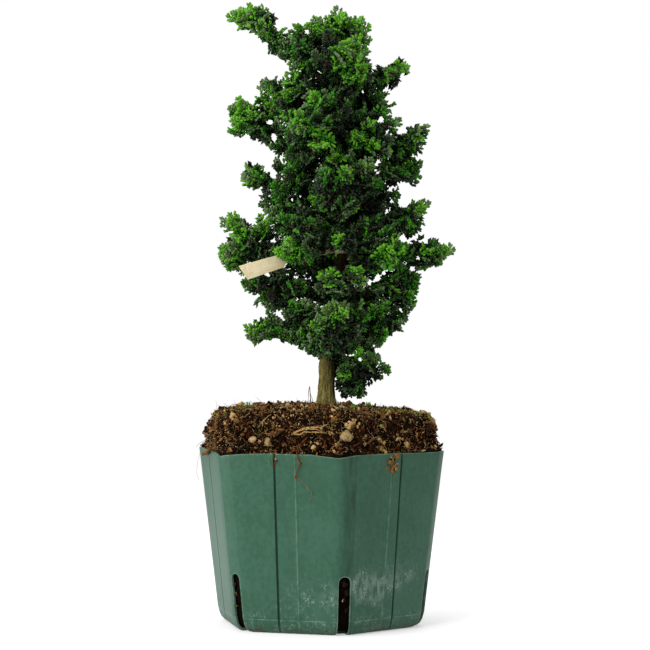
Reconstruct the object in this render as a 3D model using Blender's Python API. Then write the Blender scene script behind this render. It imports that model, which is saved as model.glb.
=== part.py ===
"""Potted conifer: a dwarf conifer in a cut-down six-sided nursery pot.

Metres, +Z up. The origin is on the ground under the middle of the pot, and the front faces -Y.
The pot, its root ball, the trunk, the boughs, the masses of foliage and the name tag are separate objects.
"""

import math
import random
from typing import NamedTuple

import bmesh
import bpy
from mathutils import Matrix, Vector, noise

NAME = "potted_conifer"
GAP = 0.0003  # between solids that meet

# Pot
POT_RIM_HEIGHT = 0.1205
POT_CORNER_RADIUS = 0.0867  # at the rim, from the middle to a corner
POT_CORNER_TURN = 12.4  # degrees from the front to the first corner
POT_CHAMFER = 0.011  # width of the narrow band at each corner
POT_TAPER = 0.125  # growth in radius for each metre of height
POT_WALL = 0.0016
POT_FLOOR = 0.0020
POT_SIDES = 6
BASE_ROUND = ((0.0, 0.0065), (0.0008, 0.0038), (0.0026, 0.0017), (0.0055, 0.0005), (0.0095, 0.0))
SLOT_WIDTH = 0.0080
SLOT_TOP = 0.0380
SLOT_INNER_RADIUS = 0.0600
SLOT_ARCH_SIDES = 16
POT_FINISH = ((0.06, 0.16, 0.10), 0.42)  # colour and roughness, as in the finishes below

# Root ball
SOIL_TOP = 0.1497
SOIL_SHOULDER = ((0.0, 0.985), (0.2, 0.985), (0.42, 0.980), (0.64, 0.970), (0.83, 0.950), (0.95, 0.890))
SOIL_RINGS = (0.78, 0.66, 0.54, 0.42, 0.30)
SOIL_SIDE_POINTS = 7  # along each side of the root ball
TRUNK_SEAT = 0.17  # share of the radius that is flat under the trunk
LUMP_HEIGHT = 0.0042  # from the hollows to the lumps of the root ball
LUMP_NOISE = 0.75  # the noise seldom leaves this range either side of nothing
LUMP_SPACING = 0.022
LUMP_EASE = 4  # how soon the lumps reach their full height above the rim and outside the trunk's seat
SOIL_FINISH = ((0.035, 0.022, 0.015), 0.95)

# Trunk
TRUNK_PATH = (
    (0.1497, 0.0041, 0.0000, 0.0060),
    (0.1600, 0.0043, 0.0000, 0.0058),
    (0.1770, 0.0048, 0.0002, 0.0057),
    (0.2080, 0.0078, 0.0006, 0.0057),
    (0.2460, 0.0142, 0.0010, 0.0054),
    (0.2910, 0.0158, 0.0006, 0.0044),
    (0.3320, 0.0144, 0.0000, 0.0034),
    (0.3660, 0.0126, -0.0004, 0.0023),
    (0.3860, 0.0122, 0.0000, 0.0013),
)  # height, right, back, radius
TRUNK_SIDES = 10
FLARE = 0.42  # extra radius at the ground, as a share
FLARE_HEIGHT = 0.0055
FLARE_LOBES = 3
FLARE_LOBE_DEPTH = 0.25
BARK_FINISH = ((0.13, 0.09, 0.05), 0.85)

# Limbs
LIMB_SIDES = 6
LIMB_STEPS = 4
LIMB_ROOT_RADIUS = 0.0027
LIMB_TIP_RADIUS = 0.0013
LIMB_SAG = 0.10  # how far a limb hangs under its straight line, as a share of its length
LIMB_ENTRY = 0.97  # where a limb ends, as a share of the way from its mass's middle to the edge
LEADER_ENTRY = 0.9  # the same where the trunk's own tip runs into its mass
LIMB_TIP_CLEARANCE = 0.9 * GAP
STEM_RADIUS = 0.0014
STEM_TIP_SHARE = 0.8
STEM_SIDES = 5

# Foliage
CORE_SHARE = 0.87
CORE_LUMPS = 0.18
TWIG_RADIUS = 0.0010
TWIG_TIP_SHARE = 0.6
LEAF_LONG = 0.0082  # half sizes of one flattened spray
LEAF_WIDE = 0.0064
LEAF_THICK = 0.0020
LEAF_ROOT_SHARE = 0.6  # how far back from its tip a spray meets its twig, in half lengths
SPRAY_REACH = 0.985
SPRAY_TRIES = 5
SPRAY_RETREAT = 0.06
SPRAY_SHRINK = 0.09
SPRAY_DRIFT = 0.35
SPRAY_DROOP = -0.3  # lowest upward share of a spray's drift
SPRAY_ROLL = 0.9
FEWEST_SPRAYS = 7
TWIG_START = 0.5
LEAF_SPACING = 0.0157
SHORTEST_EDGE = 0.000002
SEED_TRIES = 6
SEED_STEP = 1000
FOLIAGE_SEED = 404
PROBE_COUNT = 60  # directions in which the size of a mass's space is read
TINY = 1e-9
FOLIAGE_FINISH = ((0.04, 0.13, 0.04), 0.6)

# Name tag
TAG_CORNERS = ((-0.0555, -0.0260, 0.2425), (-0.0255, -0.0240, 0.2500))  # middle of its two ends
TAG_WIDTH = 0.0096
TAG_TAIL_WIDTH = 0.0034
TAG_THICKNESS = 0.0009
TAG_LOOP_HEIGHT = 0.2555
TAG_LOOP_CLEARANCE = 0.0011
TAG_STRAIGHT = 2  # stretches of the tag before its loop
TAG_SHOULDER = 0.0032  # length over which the plate narrows to its tail
TAG_TURNS = range(-60, 211, 30)  # bearings of its loop round the trunk, in degrees
TAG_SECTION = ((1, -1), (1, 1), (-1, 1), (-1, -1))  # its corners, in halves of its thickness and width
TAG_FINISH = ((0.62, 0.55, 0.38), 0.6)


class Mass(NamedTuple):
    """A mass of foliage: its middle, its half sizes outwards, across and upwards, the climb of its long axis
    in degrees, the height where its limb leaves the trunk, and whether that limb is a bough of its own."""

    name: str
    middle: tuple
    half: tuple
    climb: float
    root: float
    bough: bool


MASSES = (
    Mass("crown_top", (0.0120, 0.0000, 0.4050), (0.0253, 0.0243, 0.0195), 0, 0.3860, False),
    Mass("plume", (-0.0355, 0.0020, 0.4062), (0.0353, 0.0158, 0.0153), 33, 0.3690, True),
    Mass("top_left", (-0.0120, 0.0000, 0.3975), (0.0253, 0.0232, 0.0190), 0, 0.3770, False),
    Mass("top_right", (0.0455, 0.0000, 0.3778), (0.0200, 0.0142, 0.0111), 12, 0.3750, True),
    Mass("upper_front", (0.0180, -0.0170, 0.3820), (0.0195, 0.0338, 0.0290), 0, 0.3710, False),
    Mass("upper_back", (0.0105, 0.0175, 0.3810), (0.0222, 0.0396, 0.0248), 0, 0.3670, False),
    Mass("upper_left", (-0.0135, -0.0035, 0.3610), (0.0359, 0.0327, 0.0243), 0, 0.3510, False),
    Mass("upper_right", (0.0295, 0.0020, 0.3590), (0.0248, 0.0327, 0.0264), 0, 0.3510, False),
    Mass("left_middle", (-0.0385, 0.0000, 0.3450), (0.0290, 0.0232, 0.0190), 8, 0.3250, True),
    Mass("middle_left_front", (-0.0040, -0.0240, 0.3410), (0.0301, 0.0316, 0.0274), 0, 0.3270, False),
    Mass("middle_right", (0.0335, -0.0080, 0.3380), (0.0269, 0.0327, 0.0274), 0, 0.3250, False),
    Mass("right_middle", (0.0590, 0.0000, 0.3317), (0.0211, 0.0169, 0.0142), 15, 0.3215, True),
    Mass("right_shoulder", (0.0515, 0.0020, 0.3130), (0.0232, 0.0195, 0.0158), 0, 0.3140, True),
    Mass("middle_back", (0.0085, 0.0225, 0.3410), (0.0253, 0.0443, 0.0327), 0, 0.3250, False),
    Mass("left_tip", (-0.0380, 0.0020, 0.3068), (0.0206, 0.0142, 0.0137), 0, 0.2930, True),
    Mass("centre_left", (-0.0095, 0.0025, 0.3140), (0.0274, 0.0327, 0.0285), 0, 0.3020, False),
    Mass("centre_front", (0.0130, -0.0215, 0.3050), (0.0243, 0.0396, 0.0322), 0, 0.2970, False),
    Mass("centre_right", (0.0355, 0.0000, 0.2955), (0.0253, 0.0327, 0.0264), 0, 0.2870, False),
    Mass("right_lower", (0.0570, 0.0000, 0.2790), (0.0211, 0.0195, 0.0169), 12, 0.2630, True),
    Mass("lower_left", (-0.0180, 0.0000, 0.2820), (0.0301, 0.0343, 0.0258), 0, 0.2710, False),
    Mass("lower_back", (0.0125, 0.0235, 0.2890), (0.0253, 0.0443, 0.0327), 0, 0.2750, False),
    Mass("left_low", (-0.0485, 0.0055, 0.2640), (0.0237, 0.0237, 0.0274), 0, 0.2420, True),
    Mass("low_left_front", (-0.0110, -0.0225, 0.2630), (0.0253, 0.0190, 0.0227), 0, 0.2630, False),
    Mass("low_front", (0.0150, -0.0230, 0.2620), (0.0148, 0.0169, 0.0116), 0, 0.2620, False),
    Mass("low_right_front", (0.0425, -0.0145, 0.2570), (0.0243, 0.0237, 0.0227), 0, 0.2390, True),
    Mass("right_tip", (0.0720, 0.0020, 0.2540), (0.0232, 0.0153, 0.0127), 10, 0.2480, True),
    Mass("low_right", (0.0515, 0.0035, 0.2335), (0.0243, 0.0274, 0.0174), 0, 0.2190, True),
    Mass("low_back", (0.0150, 0.0245, 0.2510), (0.0253, 0.0443, 0.0316), 0, 0.2370, False),
    Mass("low_left", (-0.0255, 0.0020, 0.2300), (0.0243, 0.0290, 0.0227), 0, 0.2270, True),
    Mass("front_hollow", (0.0180, -0.0260, 0.2340), (0.0153, 0.0232, 0.0153), 0, 0.2290, False),
    Mass("base_left", (-0.0145, -0.0015, 0.2110), (0.0274, 0.0343, 0.0216), 0, 0.2000, False),
    Mass("left_arm", (-0.0335, 0.0000, 0.2010), (0.0227, 0.0142, 0.0116), 0, 0.1890, True),
    Mass("base_front", (0.0145, -0.0190, 0.2070), (0.0227, 0.0380, 0.0285), 0, 0.2000, False),
    Mass("base_right", (0.0420, -0.0015, 0.2120), (0.0269, 0.0290, 0.0258), 0, 0.1960, True),
    Mass("base_back", (0.0155, 0.0220, 0.2150), (0.0243, 0.0427, 0.0316), 0, 0.2050, False),
    Mass("skirt_right", (0.0275, -0.0020, 0.1735), (0.0237, 0.0227, 0.0216), 0, 0.1820, False),
)

GOLDEN_ANGLE = math.pi * (3 - math.sqrt(5))
UP = Vector((0, 0, 1))


def clear_scene():
    for obj in list(bpy.data.objects):
        bpy.data.objects.remove(obj, do_unlink=True)


def new_collection(name, hidden=False):
    collection = bpy.data.collections.new(name)
    bpy.context.scene.collection.children.link(collection)
    collection.hide_render = hidden
    return collection


def plain_material(name, colour, roughness):
    material = bpy.data.materials.new(name)
    material.use_nodes = True
    shader = material.node_tree.nodes["Principled BSDF"]
    shader.inputs["Base Color"].default_value = (*colour, 1)
    shader.inputs["Roughness"].default_value = roughness
    shader.inputs["Metallic"].default_value = 0
    return material


def object_of(bm, name, collection, material=None):
    """An object with this mesh, its faces turned outwards."""
    bmesh.ops.recalc_face_normals(bm, faces=bm.faces)
    mesh = bpy.data.meshes.new(name)
    bm.to_mesh(mesh)
    bm.free()
    if material:
        mesh.materials.append(material)
    obj = bpy.data.objects.new(name, mesh)
    collection.objects.link(obj)
    return obj


def loft(rings):
    """A closed mesh through rings of as many points each, with a flat face at each end."""
    bm = bmesh.new()
    rows = [[bm.verts.new(point) for point in ring] for ring in rings]
    count = len(rings[0])
    for low, high in zip(rows, rows[1:]):
        for i in range(count):
            j = (i + 1) % count
            bm.faces.new((low[i], low[j], high[j], high[i]))
    bm.faces.new(rows[0])
    bm.faces.new(rows[-1])
    return bm


def at_bearing(radius, angle, height):
    """A point at this angle in radians from the front, turning to the right."""
    return Vector((radius * math.sin(angle), -radius * math.cos(angle), height))


def pot_radius(height):
    return POT_CORNER_RADIUS - POT_TAPER * (POT_RIM_HEIGHT - height)


def corner_angle(k):
    return math.radians(POT_CORNER_TURN + 360 / POT_SIDES * k)


def pot_ring(radius, height):
    """The outline of a six-sided pot, each corner cut to a narrow band."""
    half_band = math.asin(POT_CHAMFER / 2 / radius)
    turns = [corner_angle(k) + side * half_band for k in range(POT_SIDES) for side in (-1, 1)]
    return [at_bearing(radius, turn, height) for turn in turns]


def pot(collection, cutters):
    outer = [pot_ring(pot_radius(z) - inset, z) for z, inset in BASE_ROUND]
    outer.append(pot_ring(pot_radius(POT_RIM_HEIGHT), POT_RIM_HEIGHT))
    inner = [pot_ring(pot_radius(POT_RIM_HEIGHT) - POT_WALL, POT_RIM_HEIGHT)]
    for z, inset in reversed(BASE_ROUND):
        inner.append(pot_ring(pot_radius(z) - inset - POT_WALL, z + POT_FLOOR))
    obj = object_of(loft(outer + inner), "pot", collection, plain_material("pot", *POT_FINISH))
    arch = SLOT_WIDTH / 2
    reach = POT_CORNER_RADIUS + POT_WALL - SLOT_INNER_RADIUS
    for k in range(POT_SIDES):
        turn = corner_angle(k)
        middle = SLOT_INNER_RADIUS + reach / 2
        height = SLOT_TOP - arch + POT_FLOOR
        facing = Matrix.Rotation(turn, 4, "Z")
        place = Matrix.Translation(at_bearing(middle, turn, height / 2 - POT_FLOOR)) @ facing
        bm = bmesh.new()
        bmesh.ops.create_cube(bm, size=1, matrix=place @ Matrix.Diagonal((SLOT_WIDTH, reach, height, 1)))
        object_of(bm, f"slot_{k}", cutters)
        bm = bmesh.new()
        lying = facing @ Matrix.Rotation(math.pi / 2, 4, "X")
        place = Matrix.Translation(at_bearing(middle, turn, SLOT_TOP - arch)) @ lying
        bmesh.ops.create_cone(
            bm, cap_ends=True, segments=SLOT_ARCH_SIDES, radius1=arch, radius2=arch, depth=reach, matrix=place
        )
        object_of(bm, f"slot_arch_{k}", cutters)
    for cutter in cutters.objects:
        cutter.display_type = "WIRE"
        cutter.hide_render = True
    cut = obj.modifiers.new("slots", "BOOLEAN")
    cut.operation = "DIFFERENCE"
    cut.operand_type = "COLLECTION"
    cut.collection = cutters


def soil_ring(radius, height, share=0.0):
    """The pot's outline with more points along each side, moved in and down by a share of the lumps."""
    corners = pot_ring(radius, height)
    ring = []
    for i, point in enumerate(corners):
        after = corners[(i + 1) % len(corners)]
        steps = SOIL_SIDE_POINTS if i % 2 else 1
        for k in range(steps):
            spot = point.lerp(after, k / steps)
            lump = min(LUMP_NOISE, noise.noise(spot / LUMP_SPACING))
            hollow = (LUMP_NOISE - lump) / (2 * LUMP_NOISE) * LUMP_HEIGHT * share
            inward = 1 - hollow / radius
            ring.append(Vector((spot.x * inward, spot.y * inward, height - hollow)))
    return ring


def root_ball(collection):
    clear = POT_WALL + GAP / math.cos(math.pi / POT_SIDES)
    rings = []
    for z, inset in BASE_ROUND:
        rings.append(soil_ring(pot_radius(z) - inset - clear, z + POT_FLOOR + GAP))
    rim_radius = pot_radius(POT_RIM_HEIGHT) - clear
    rings.append(soil_ring(rim_radius, POT_RIM_HEIGHT))
    above = SOIL_TOP - POT_RIM_HEIGHT
    for share, width in SOIL_SHOULDER:
        rings.append(soil_ring(rim_radius * width, POT_RIM_HEIGHT + share * above, min(1, share * LUMP_EASE)))
    for width in SOIL_RINGS:
        rings.append(soil_ring(rim_radius * width, SOIL_TOP - GAP, min(1, (width - TRUNK_SEAT) * LUMP_EASE)))
    rings.append(soil_ring(rim_radius * TRUNK_SEAT, SOIL_TOP - GAP))
    object_of(loft(rings), "root_ball", collection, plain_material("soil", *SOIL_FINISH))


def trunk_at(height):
    """The middle of the trunk and its radius at a height."""
    below = TRUNK_PATH[0]
    for above in TRUNK_PATH[1:]:
        if height <= above[0]:
            share = max(0, (height - below[0]) / (above[0] - below[0]))
            x, y, radius = (a + (b - a) * share for a, b in zip(below[1:], above[1:]))
            return Vector((x, y, height)), radius
        below = above
    return Vector((below[1], below[2], below[0])), below[3]


def trunk(collection):
    rings = []
    low = TRUNK_PATH[0][0]
    heights = sorted({low, low + FLARE_HEIGHT / 2, low + FLARE_HEIGHT, *(row[0] for row in TRUNK_PATH)})
    for height in heights:
        middle, radius = trunk_at(height)
        flare = FLARE * max(0, 1 - (height - low) / (2 * FLARE_HEIGHT)) ** 2
        ring = []
        for i in range(TRUNK_SIDES):
            angle = math.tau * i / TRUNK_SIDES
            lobe = 1 - FLARE_LOBE_DEPTH * (1 - math.cos(FLARE_LOBES * angle))
            wide = radius * (1 + flare * lobe)
            ring.append(middle + Vector((wide * math.cos(angle), wide * math.sin(angle), 0)))
        rings.append(ring)
    object_of(loft(rings), "trunk", collection, plain_material("bark", *BARK_FINISH))


def outward(mass):
    """The level direction from the trunk to the middle of a mass."""
    middle, _ = trunk_at(mass.middle[2])
    way = Vector(mass.middle) - middle
    way.z = 0
    return way.normalized() if way.length > LIMB_ROOT_RADIUS else Vector((1, 0, 0))


def sphere_ways(count, turn):
    """Directions spread evenly over a sphere."""
    ways = []
    for i in range(count):
        z = 1 - (2 * i + 1) / count
        flat = math.sqrt(1 - z * z)
        angle = i * GOLDEN_ANGLE + turn
        ways.append(Vector((flat * math.cos(angle), flat * math.sin(angle), z)))
    return ways


PROBES = sphere_ways(PROBE_COUNT, 0)


class Cell:
    """The space of a mass: an ellipsoid less what lies past the planes to its neighbours. It is convex."""

    def __init__(self, mass):
        out = outward(mass)
        across = UP.cross(out)
        climb = math.radians(mass.climb)
        along = out * math.cos(climb) + UP * math.sin(climb)
        over = along.cross(across)
        columns = [axis * half for axis, half in zip((along, across, over), mass.half)]
        self.shape = Matrix(columns).transposed()
        self.inverse = self.shape.inverted()
        self.middle = Vector(mass.middle)
        self.hub = self.middle
        self.along = along
        self.planes = []

    def width(self, way):
        """How far the ellipsoid reaches from its middle in a direction."""
        return (self.shape.transposed() @ way).length

    def keep_off(self, start, end, radius):
        """Adds the plane that keeps this cell off a round bar."""
        bar = end - start
        share = (self.middle - start).dot(bar) / max(bar.length_squared, TINY)
        nearest = start + bar * min(1, max(0, share))
        way = (nearest - self.middle).normalized()
        self.planes.append((way, nearest.dot(way) - radius - GAP))

    def holds(self, point):
        if (self.inverse @ (point - self.middle)).length > 1:
            return False
        return all(point.dot(way) <= limit for way, limit in self.planes)

    def reach(self, way):
        """The distance from the hub to the cell's edge in a direction."""
        start = self.inverse @ (self.hub - self.middle)
        step = self.inverse @ way
        a, b, c = step.dot(step), start.dot(step), start.dot(start) - 1
        far = (-b + math.sqrt(max(0, b * b - a * c))) / a
        for normal, limit in self.planes:
            facing = normal.dot(way)
            if facing > TINY:
                far = min(far, (limit - normal.dot(self.hub)) / facing)
        return far

    def stop_at(self, limb):
        """Keeps this cell past the tip of its own limb."""
        way = (limb[-1] - limb[-2]).normalized()
        self.planes.append((-way, -(limb[-1] + way * LIMB_TIP_CLEARANCE).dot(way)))

    def centre_hub(self):
        """Moves the point that the mass grows from to the middle of what the planes left."""
        spots = [self.hub + way * self.reach(way) for way in PROBES]
        self.hub = sum(spots, Vector()) / len(spots)


def part_cells(cells):
    """A plane between each two cells, in proportion to their widths."""
    for i, first in enumerate(cells):
        for second in cells[i + 1 :]:
            way = second.middle - first.middle
            apart = way.length
            way.normalize()
            one, other = first.width(way), second.width(way)
            share = one / (one + other)
            limit = (first.middle + way * apart * share).dot(way)
            first.planes.append((way, limit - GAP / 2))
            second.planes.append((-way, -limit - GAP / 2))


def limb_points(mass, cell):
    """The line of a limb from the trunk's surface to where it enters its mass, gently sagging."""
    axis, radius = trunk_at(mass.root)
    if mass.root >= TRUNK_PATH[-1][0]:
        start = axis + UP * GAP
        return [start, cell.hub + (start - cell.hub) * LEADER_ENTRY]
    way = Vector(mass.middle) - axis
    way.z = 0
    start = axis + way.normalized() * (radius + GAP)
    back = (start - cell.hub).normalized()
    end = cell.hub + back * min(cell.reach(back) * LIMB_ENTRY, (start - cell.hub).length - GAP)
    line = end - start
    bend = (start + end) / 2 - UP * LIMB_SAG * line.length
    points = []
    for i in range(LIMB_STEPS + 1):
        t = i / LIMB_STEPS
        points.append(start * (1 - t) ** 2 + bend * 2 * t * (1 - t) + end * t * t)
    return points


def ring_round(middle, way, radius, sides):
    """Points round a limb, square to its direction."""
    side = way.cross(UP).normalized() if abs(way.z) < 0.9 else Vector((1, 0, 0))
    up = side.cross(way).normalized()
    turns = [math.tau * i / sides for i in range(sides)]
    return [middle + (side * math.cos(a) + up * math.sin(a)) * radius for a in turns]


def tapered_limb(points, root_way, root_radius, tip_radius, sides):
    """A closed tapering tube. Its root is cut square to root_way, so that it lies flat against the trunk."""
    rings = []
    for i, point in enumerate(points):
        before, after = points[max(0, i - 1)], points[min(len(points) - 1, i + 1)]
        way = root_way if i == 0 else (after - before).normalized()
        radius = root_radius + (tip_radius - root_radius) * i / (len(points) - 1)
        rings.append(ring_round(point, way, radius, sides))
    return loft(rings)


def spray(bm, tip, way, roll, size):
    """One flattened eight-sided spray that ends at tip, and its six corners."""
    side = way.cross(UP)
    side = side.normalized() if side.length > TINY else Vector((1, 0, 0))
    side = Matrix.Rotation(roll, 3, way) @ side
    over = side.cross(way)
    axes = (way * LEAF_LONG * size, side * LEAF_WIDE * size, over * LEAF_THICK)
    middle = tip - axes[0]
    place = Matrix(axes).transposed().to_4x4()
    place.translation = middle
    upright = Matrix.Rotation(math.pi / 2, 4, "Y")
    bmesh.ops.create_uvsphere(bm, u_segments=4, v_segments=2, radius=1, matrix=place @ upright)
    return [middle + sign * axis for axis in axes for sign in (-1, 1)]


def twig(bm, start, end, radius):
    """A three-sided tapering twig."""
    line = end - start
    turn = line.to_track_quat("Z", "Y").to_matrix().to_4x4()
    place = Matrix.Translation((start + end) / 2) @ turn
    tip = radius * TWIG_TIP_SHARE
    bmesh.ops.create_cone(
        bm, cap_ends=True, segments=3, radius1=radius, radius2=tip, depth=line.length, matrix=place
    )


def core(cell, name, collection, material, rng):
    """A smaller lumpy body that the twigs stand out of."""
    bm = bmesh.new()
    bmesh.ops.create_icosphere(bm, subdivisions=2, radius=1)
    for vert in bm.verts:
        way = vert.co.normalized()
        lump = 1 - CORE_LUMPS * rng.random()
        vert.co = cell.hub + way * cell.reach(way) * CORE_SHARE * lump
    return object_of(bm, name, collection, material)


def fitted_spray(cell, way, drift, roll):
    """A spray that ends near the cell's edge in this direction, made smaller until the cell holds it."""
    reach = cell.reach(way) * SPRAY_REACH
    for attempt in range(SPRAY_TRIES):
        lean = (way + drift * (1 - attempt / SPRAY_TRIES)).normalized()
        tip = cell.hub + way * reach * (1 - SPRAY_RETREAT * attempt)
        size = 1 - SPRAY_SHRINK * attempt
        bm = bmesh.new()
        corners = spray(bm, tip, lean, roll, size)
        if all(cell.holds(corner) for corner in corners):
            return bm, tip - lean * LEAF_LONG * size * LEAF_ROOT_SHARE
        bm.free()
    return None, None


def grow_sprays(cell, pieces, rng):
    """Twigs that branch from the core in evenly spread directions, each ending in a spray inside the cell."""
    around = 4 * math.pi * sum(cell.reach(way) ** 2 for way in PROBES) / len(PROBES)
    count = max(FEWEST_SPRAYS, round(around / LEAF_SPACING**2 / 2))
    for k, way in enumerate([cell.along, *sphere_ways(count, rng.uniform(0, math.tau))]):
        drift = Vector((rng.uniform(-1, 1), rng.uniform(-1, 1), rng.uniform(SPRAY_DROOP, 1))) * SPRAY_DRIFT
        bm, end = fitted_spray(cell, way, drift if k else Vector(), rng.uniform(-SPRAY_ROLL, SPRAY_ROLL))
        if not bm:
            continue
        object_of(bm, f"spray_{k}", pieces)
        start = cell.hub + way * cell.reach(way) * TWIG_START
        if (end - start).dot(way) > TWIG_RADIUS:
            bm = bmesh.new()
            twig(bm, start, end, TWIG_RADIUS)
            object_of(bm, f"twig_{k}", pieces)


def outer_body(mesh):
    """Keeps the largest closed shell, which drops scraps and fills sealed hollows. True if it is sound."""
    bm = bmesh.new()
    bm.from_mesh(mesh)
    bmesh.ops.remove_doubles(bm, verts=bm.verts, dist=SHORTEST_EDGE)
    bmesh.ops.dissolve_degenerate(bm, dist=SHORTEST_EDGE, edges=bm.edges)
    if not all(edge.is_manifold for edge in bm.edges):
        bm.free()
        return False
    shells = []
    left = set(bm.faces)
    while left:
        shell = {left.pop()}
        edge = list(shell)
        while edge:
            near = {f for e in edge.pop().edges for f in e.link_faces} - shell
            shell |= near
            edge.extend(near)
        left -= shell
        shells.append(shell)
    volumes = []
    for shell in shells:
        total = 0
        for face in shell:
            first, *others = [vert.co for vert in face.verts]
            total += sum(first.dot(a.cross(b)) for a, b in zip(others, others[1:]))
        volumes.append(total)
    keep = shells[volumes.index(max(volumes))]
    bmesh.ops.delete(bm, geom=[face for face in bm.faces if face not in keep], context="FACES")
    bm.to_mesh(mesh)
    bm.free()
    return True


def joined_body(obj, pieces):
    """The mesh of this object joined with all those in a collection."""
    join = obj.modifiers.new("join", "BOOLEAN")
    join.operation = "UNION"
    join.operand_type = "COLLECTION"
    join.collection = pieces
    join.solver = "MANIFOLD"
    graph = bpy.context.evaluated_depsgraph_get()
    joined = bpy.data.meshes.new_from_object(obj.evaluated_get(graph))
    obj.modifiers.remove(join)
    return joined


def foliage(mass, cell, points, seed, collection, material):
    """Grows one mass: its core, its stem, its twigs and its sprays, joined into one closed solid."""
    obj = core(cell, mass.name, collection, material, random.Random(seed))
    stem = [*points, cell.hub]
    root_way = level(points, mass)
    if mass.bough:
        root_way = (points[-1] - points[-2]).normalized()
        stem = [points[-1] + root_way * GAP, cell.hub]
    for attempt in range(SEED_TRIES):
        pieces = new_collection(mass.name + "_pieces")
        limb = tapered_limb(stem, root_way, STEM_RADIUS, STEM_RADIUS * STEM_TIP_SHARE, STEM_SIDES)
        object_of(limb, "stem", pieces)
        grow_sprays(cell, pieces, random.Random(seed + SEED_STEP * attempt))
        joined = joined_body(obj, pieces)
        for piece in list(pieces.objects):
            bpy.data.objects.remove(piece, do_unlink=True)
        bpy.data.collections.remove(pieces)
        if outer_body(joined):
            break
    obj.data = joined


def level(points, mass):
    """The direction in which a limb leaves the trunk: level, or straight up from the trunk's tip."""
    axis, _ = trunk_at(mass.root)
    way = points[0] - axis
    way.z = 0
    return way.normalized() if way.length > GAP else UP


def tag_line():
    """The middle line of the tag: along its plate, past the front of the trunk and round behind it."""
    left, right = (Vector(corner) for corner in TAG_CORNERS)
    axis, radius = trunk_at(TAG_LOOP_HEIGHT)
    ring = radius + TAG_LOOP_CLEARANCE
    points = [left, right]
    points.extend(axis + at_bearing(ring, math.radians(turn), 0) for turn in TAG_TURNS)
    return points


def name_tag(collection):
    points = tag_line()
    rings = []
    for i, point in enumerate(points):
        before, after = points[max(0, i - 1)], points[min(len(points) - 1, i + 1)]
        way = (after - before).normalized()
        over = (UP - way * way.z).normalized()
        out = way.cross(over) * TAG_THICKNESS / 2
        half = (TAG_WIDTH if i < 2 else TAG_TAIL_WIDTH) / 2
        rings.append([point + out * a + over * b * half for a, b in TAG_SECTION])
        if i == 1:
            shoulder = point + way * TAG_SHOULDER
            half = TAG_TAIL_WIDTH / 2
            rings.append([shoulder + out * a + over * b * half for a, b in TAG_SECTION])
    object_of(loft(rings), "name_tag", collection, plain_material("tag", *TAG_FINISH))


def cells_and_limbs():
    """The space of each mass, kept off its neighbours, the trunk, the tag and other limbs, and the limbs."""
    cells = [Cell(mass) for mass in MASSES]
    part_cells(cells)
    stations = [Vector((x, y, z)) for z, x, y, _ in TRUNK_PATH]
    radii = [row[3] for row in TRUNK_PATH]
    tag = tag_line()[: TAG_STRAIGHT + 1]
    for cell in cells:
        for start, end, radius in zip(stations, stations[1:], radii):
            cell.keep_off(start, end, radius)
        for start, end in zip(tag, tag[1:]):
            for lift in (-UP * TAG_WIDTH / 2, Vector(), UP * TAG_WIDTH / 2):
                cell.keep_off(start + lift, end + lift, TAG_THICKNESS)
        cell.centre_hub()
    limbs = [limb_points(mass, cell) for mass, cell in zip(MASSES, cells)]
    for i, cell in enumerate(cells):
        for j, points in enumerate(limbs):
            if i != j:
                for start, end in zip(points, points[1:]):
                    cell.keep_off(start, end, LIMB_ROOT_RADIUS)
        if MASSES[i].bough:
            cell.stop_at(limbs[i])
        cell.centre_hub()
    return cells, limbs


def main():
    clear_scene()
    collection = new_collection(NAME)
    pot(collection, new_collection("cutters", hidden=True))
    root_ball(collection)
    trunk(collection)
    name_tag(collection)
    bark = plain_material("bough_bark", *BARK_FINISH)
    for k, (mass, cell, points) in enumerate(zip(MASSES, *cells_and_limbs())):
        if mass.bough:
            limb = tapered_limb(points, level(points, mass), LIMB_ROOT_RADIUS, LIMB_TIP_RADIUS, LIMB_SIDES)
            object_of(limb, "bough_" + mass.name, collection, bark)
        green = plain_material("foliage_" + mass.name, *FOLIAGE_FINISH)
        foliage(mass, cell, points, FOLIAGE_SEED + k, collection, green)


main()
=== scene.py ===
# %% [markdown]
# # A potted conifer, dressed for its portrait
#
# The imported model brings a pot, its root ball, a trunk, boughs, a name tag and the masses of foliage, all
# as plain solids in metres. This lesson keeps every size of theirs and gives each one the surface of the
# real thing: satin plastic with grooves and scuffs, crumbly soil, bark, and sprays of small rounded scale
# leaves.

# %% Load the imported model
import math
import random

import bmesh
import bpy
import numpy as np
from mathutils import Matrix, Vector, noise
from mathutils.bvhtree import BVHTree


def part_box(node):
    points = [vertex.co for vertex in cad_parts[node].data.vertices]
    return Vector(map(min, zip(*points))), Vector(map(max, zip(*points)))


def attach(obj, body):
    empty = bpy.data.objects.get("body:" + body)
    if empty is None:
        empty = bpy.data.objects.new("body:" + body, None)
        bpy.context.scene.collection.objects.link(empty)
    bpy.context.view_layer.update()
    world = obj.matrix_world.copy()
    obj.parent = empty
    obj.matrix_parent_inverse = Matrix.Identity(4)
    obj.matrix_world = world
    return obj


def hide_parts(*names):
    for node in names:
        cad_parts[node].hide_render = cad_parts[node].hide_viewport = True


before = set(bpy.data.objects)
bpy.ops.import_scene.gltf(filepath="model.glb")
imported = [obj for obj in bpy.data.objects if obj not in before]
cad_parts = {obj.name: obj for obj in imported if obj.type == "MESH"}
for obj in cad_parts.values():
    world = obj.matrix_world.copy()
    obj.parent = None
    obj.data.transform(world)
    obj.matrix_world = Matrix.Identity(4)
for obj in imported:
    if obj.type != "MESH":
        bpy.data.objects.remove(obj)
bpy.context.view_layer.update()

UP = Vector((0, 0, 1))

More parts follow.
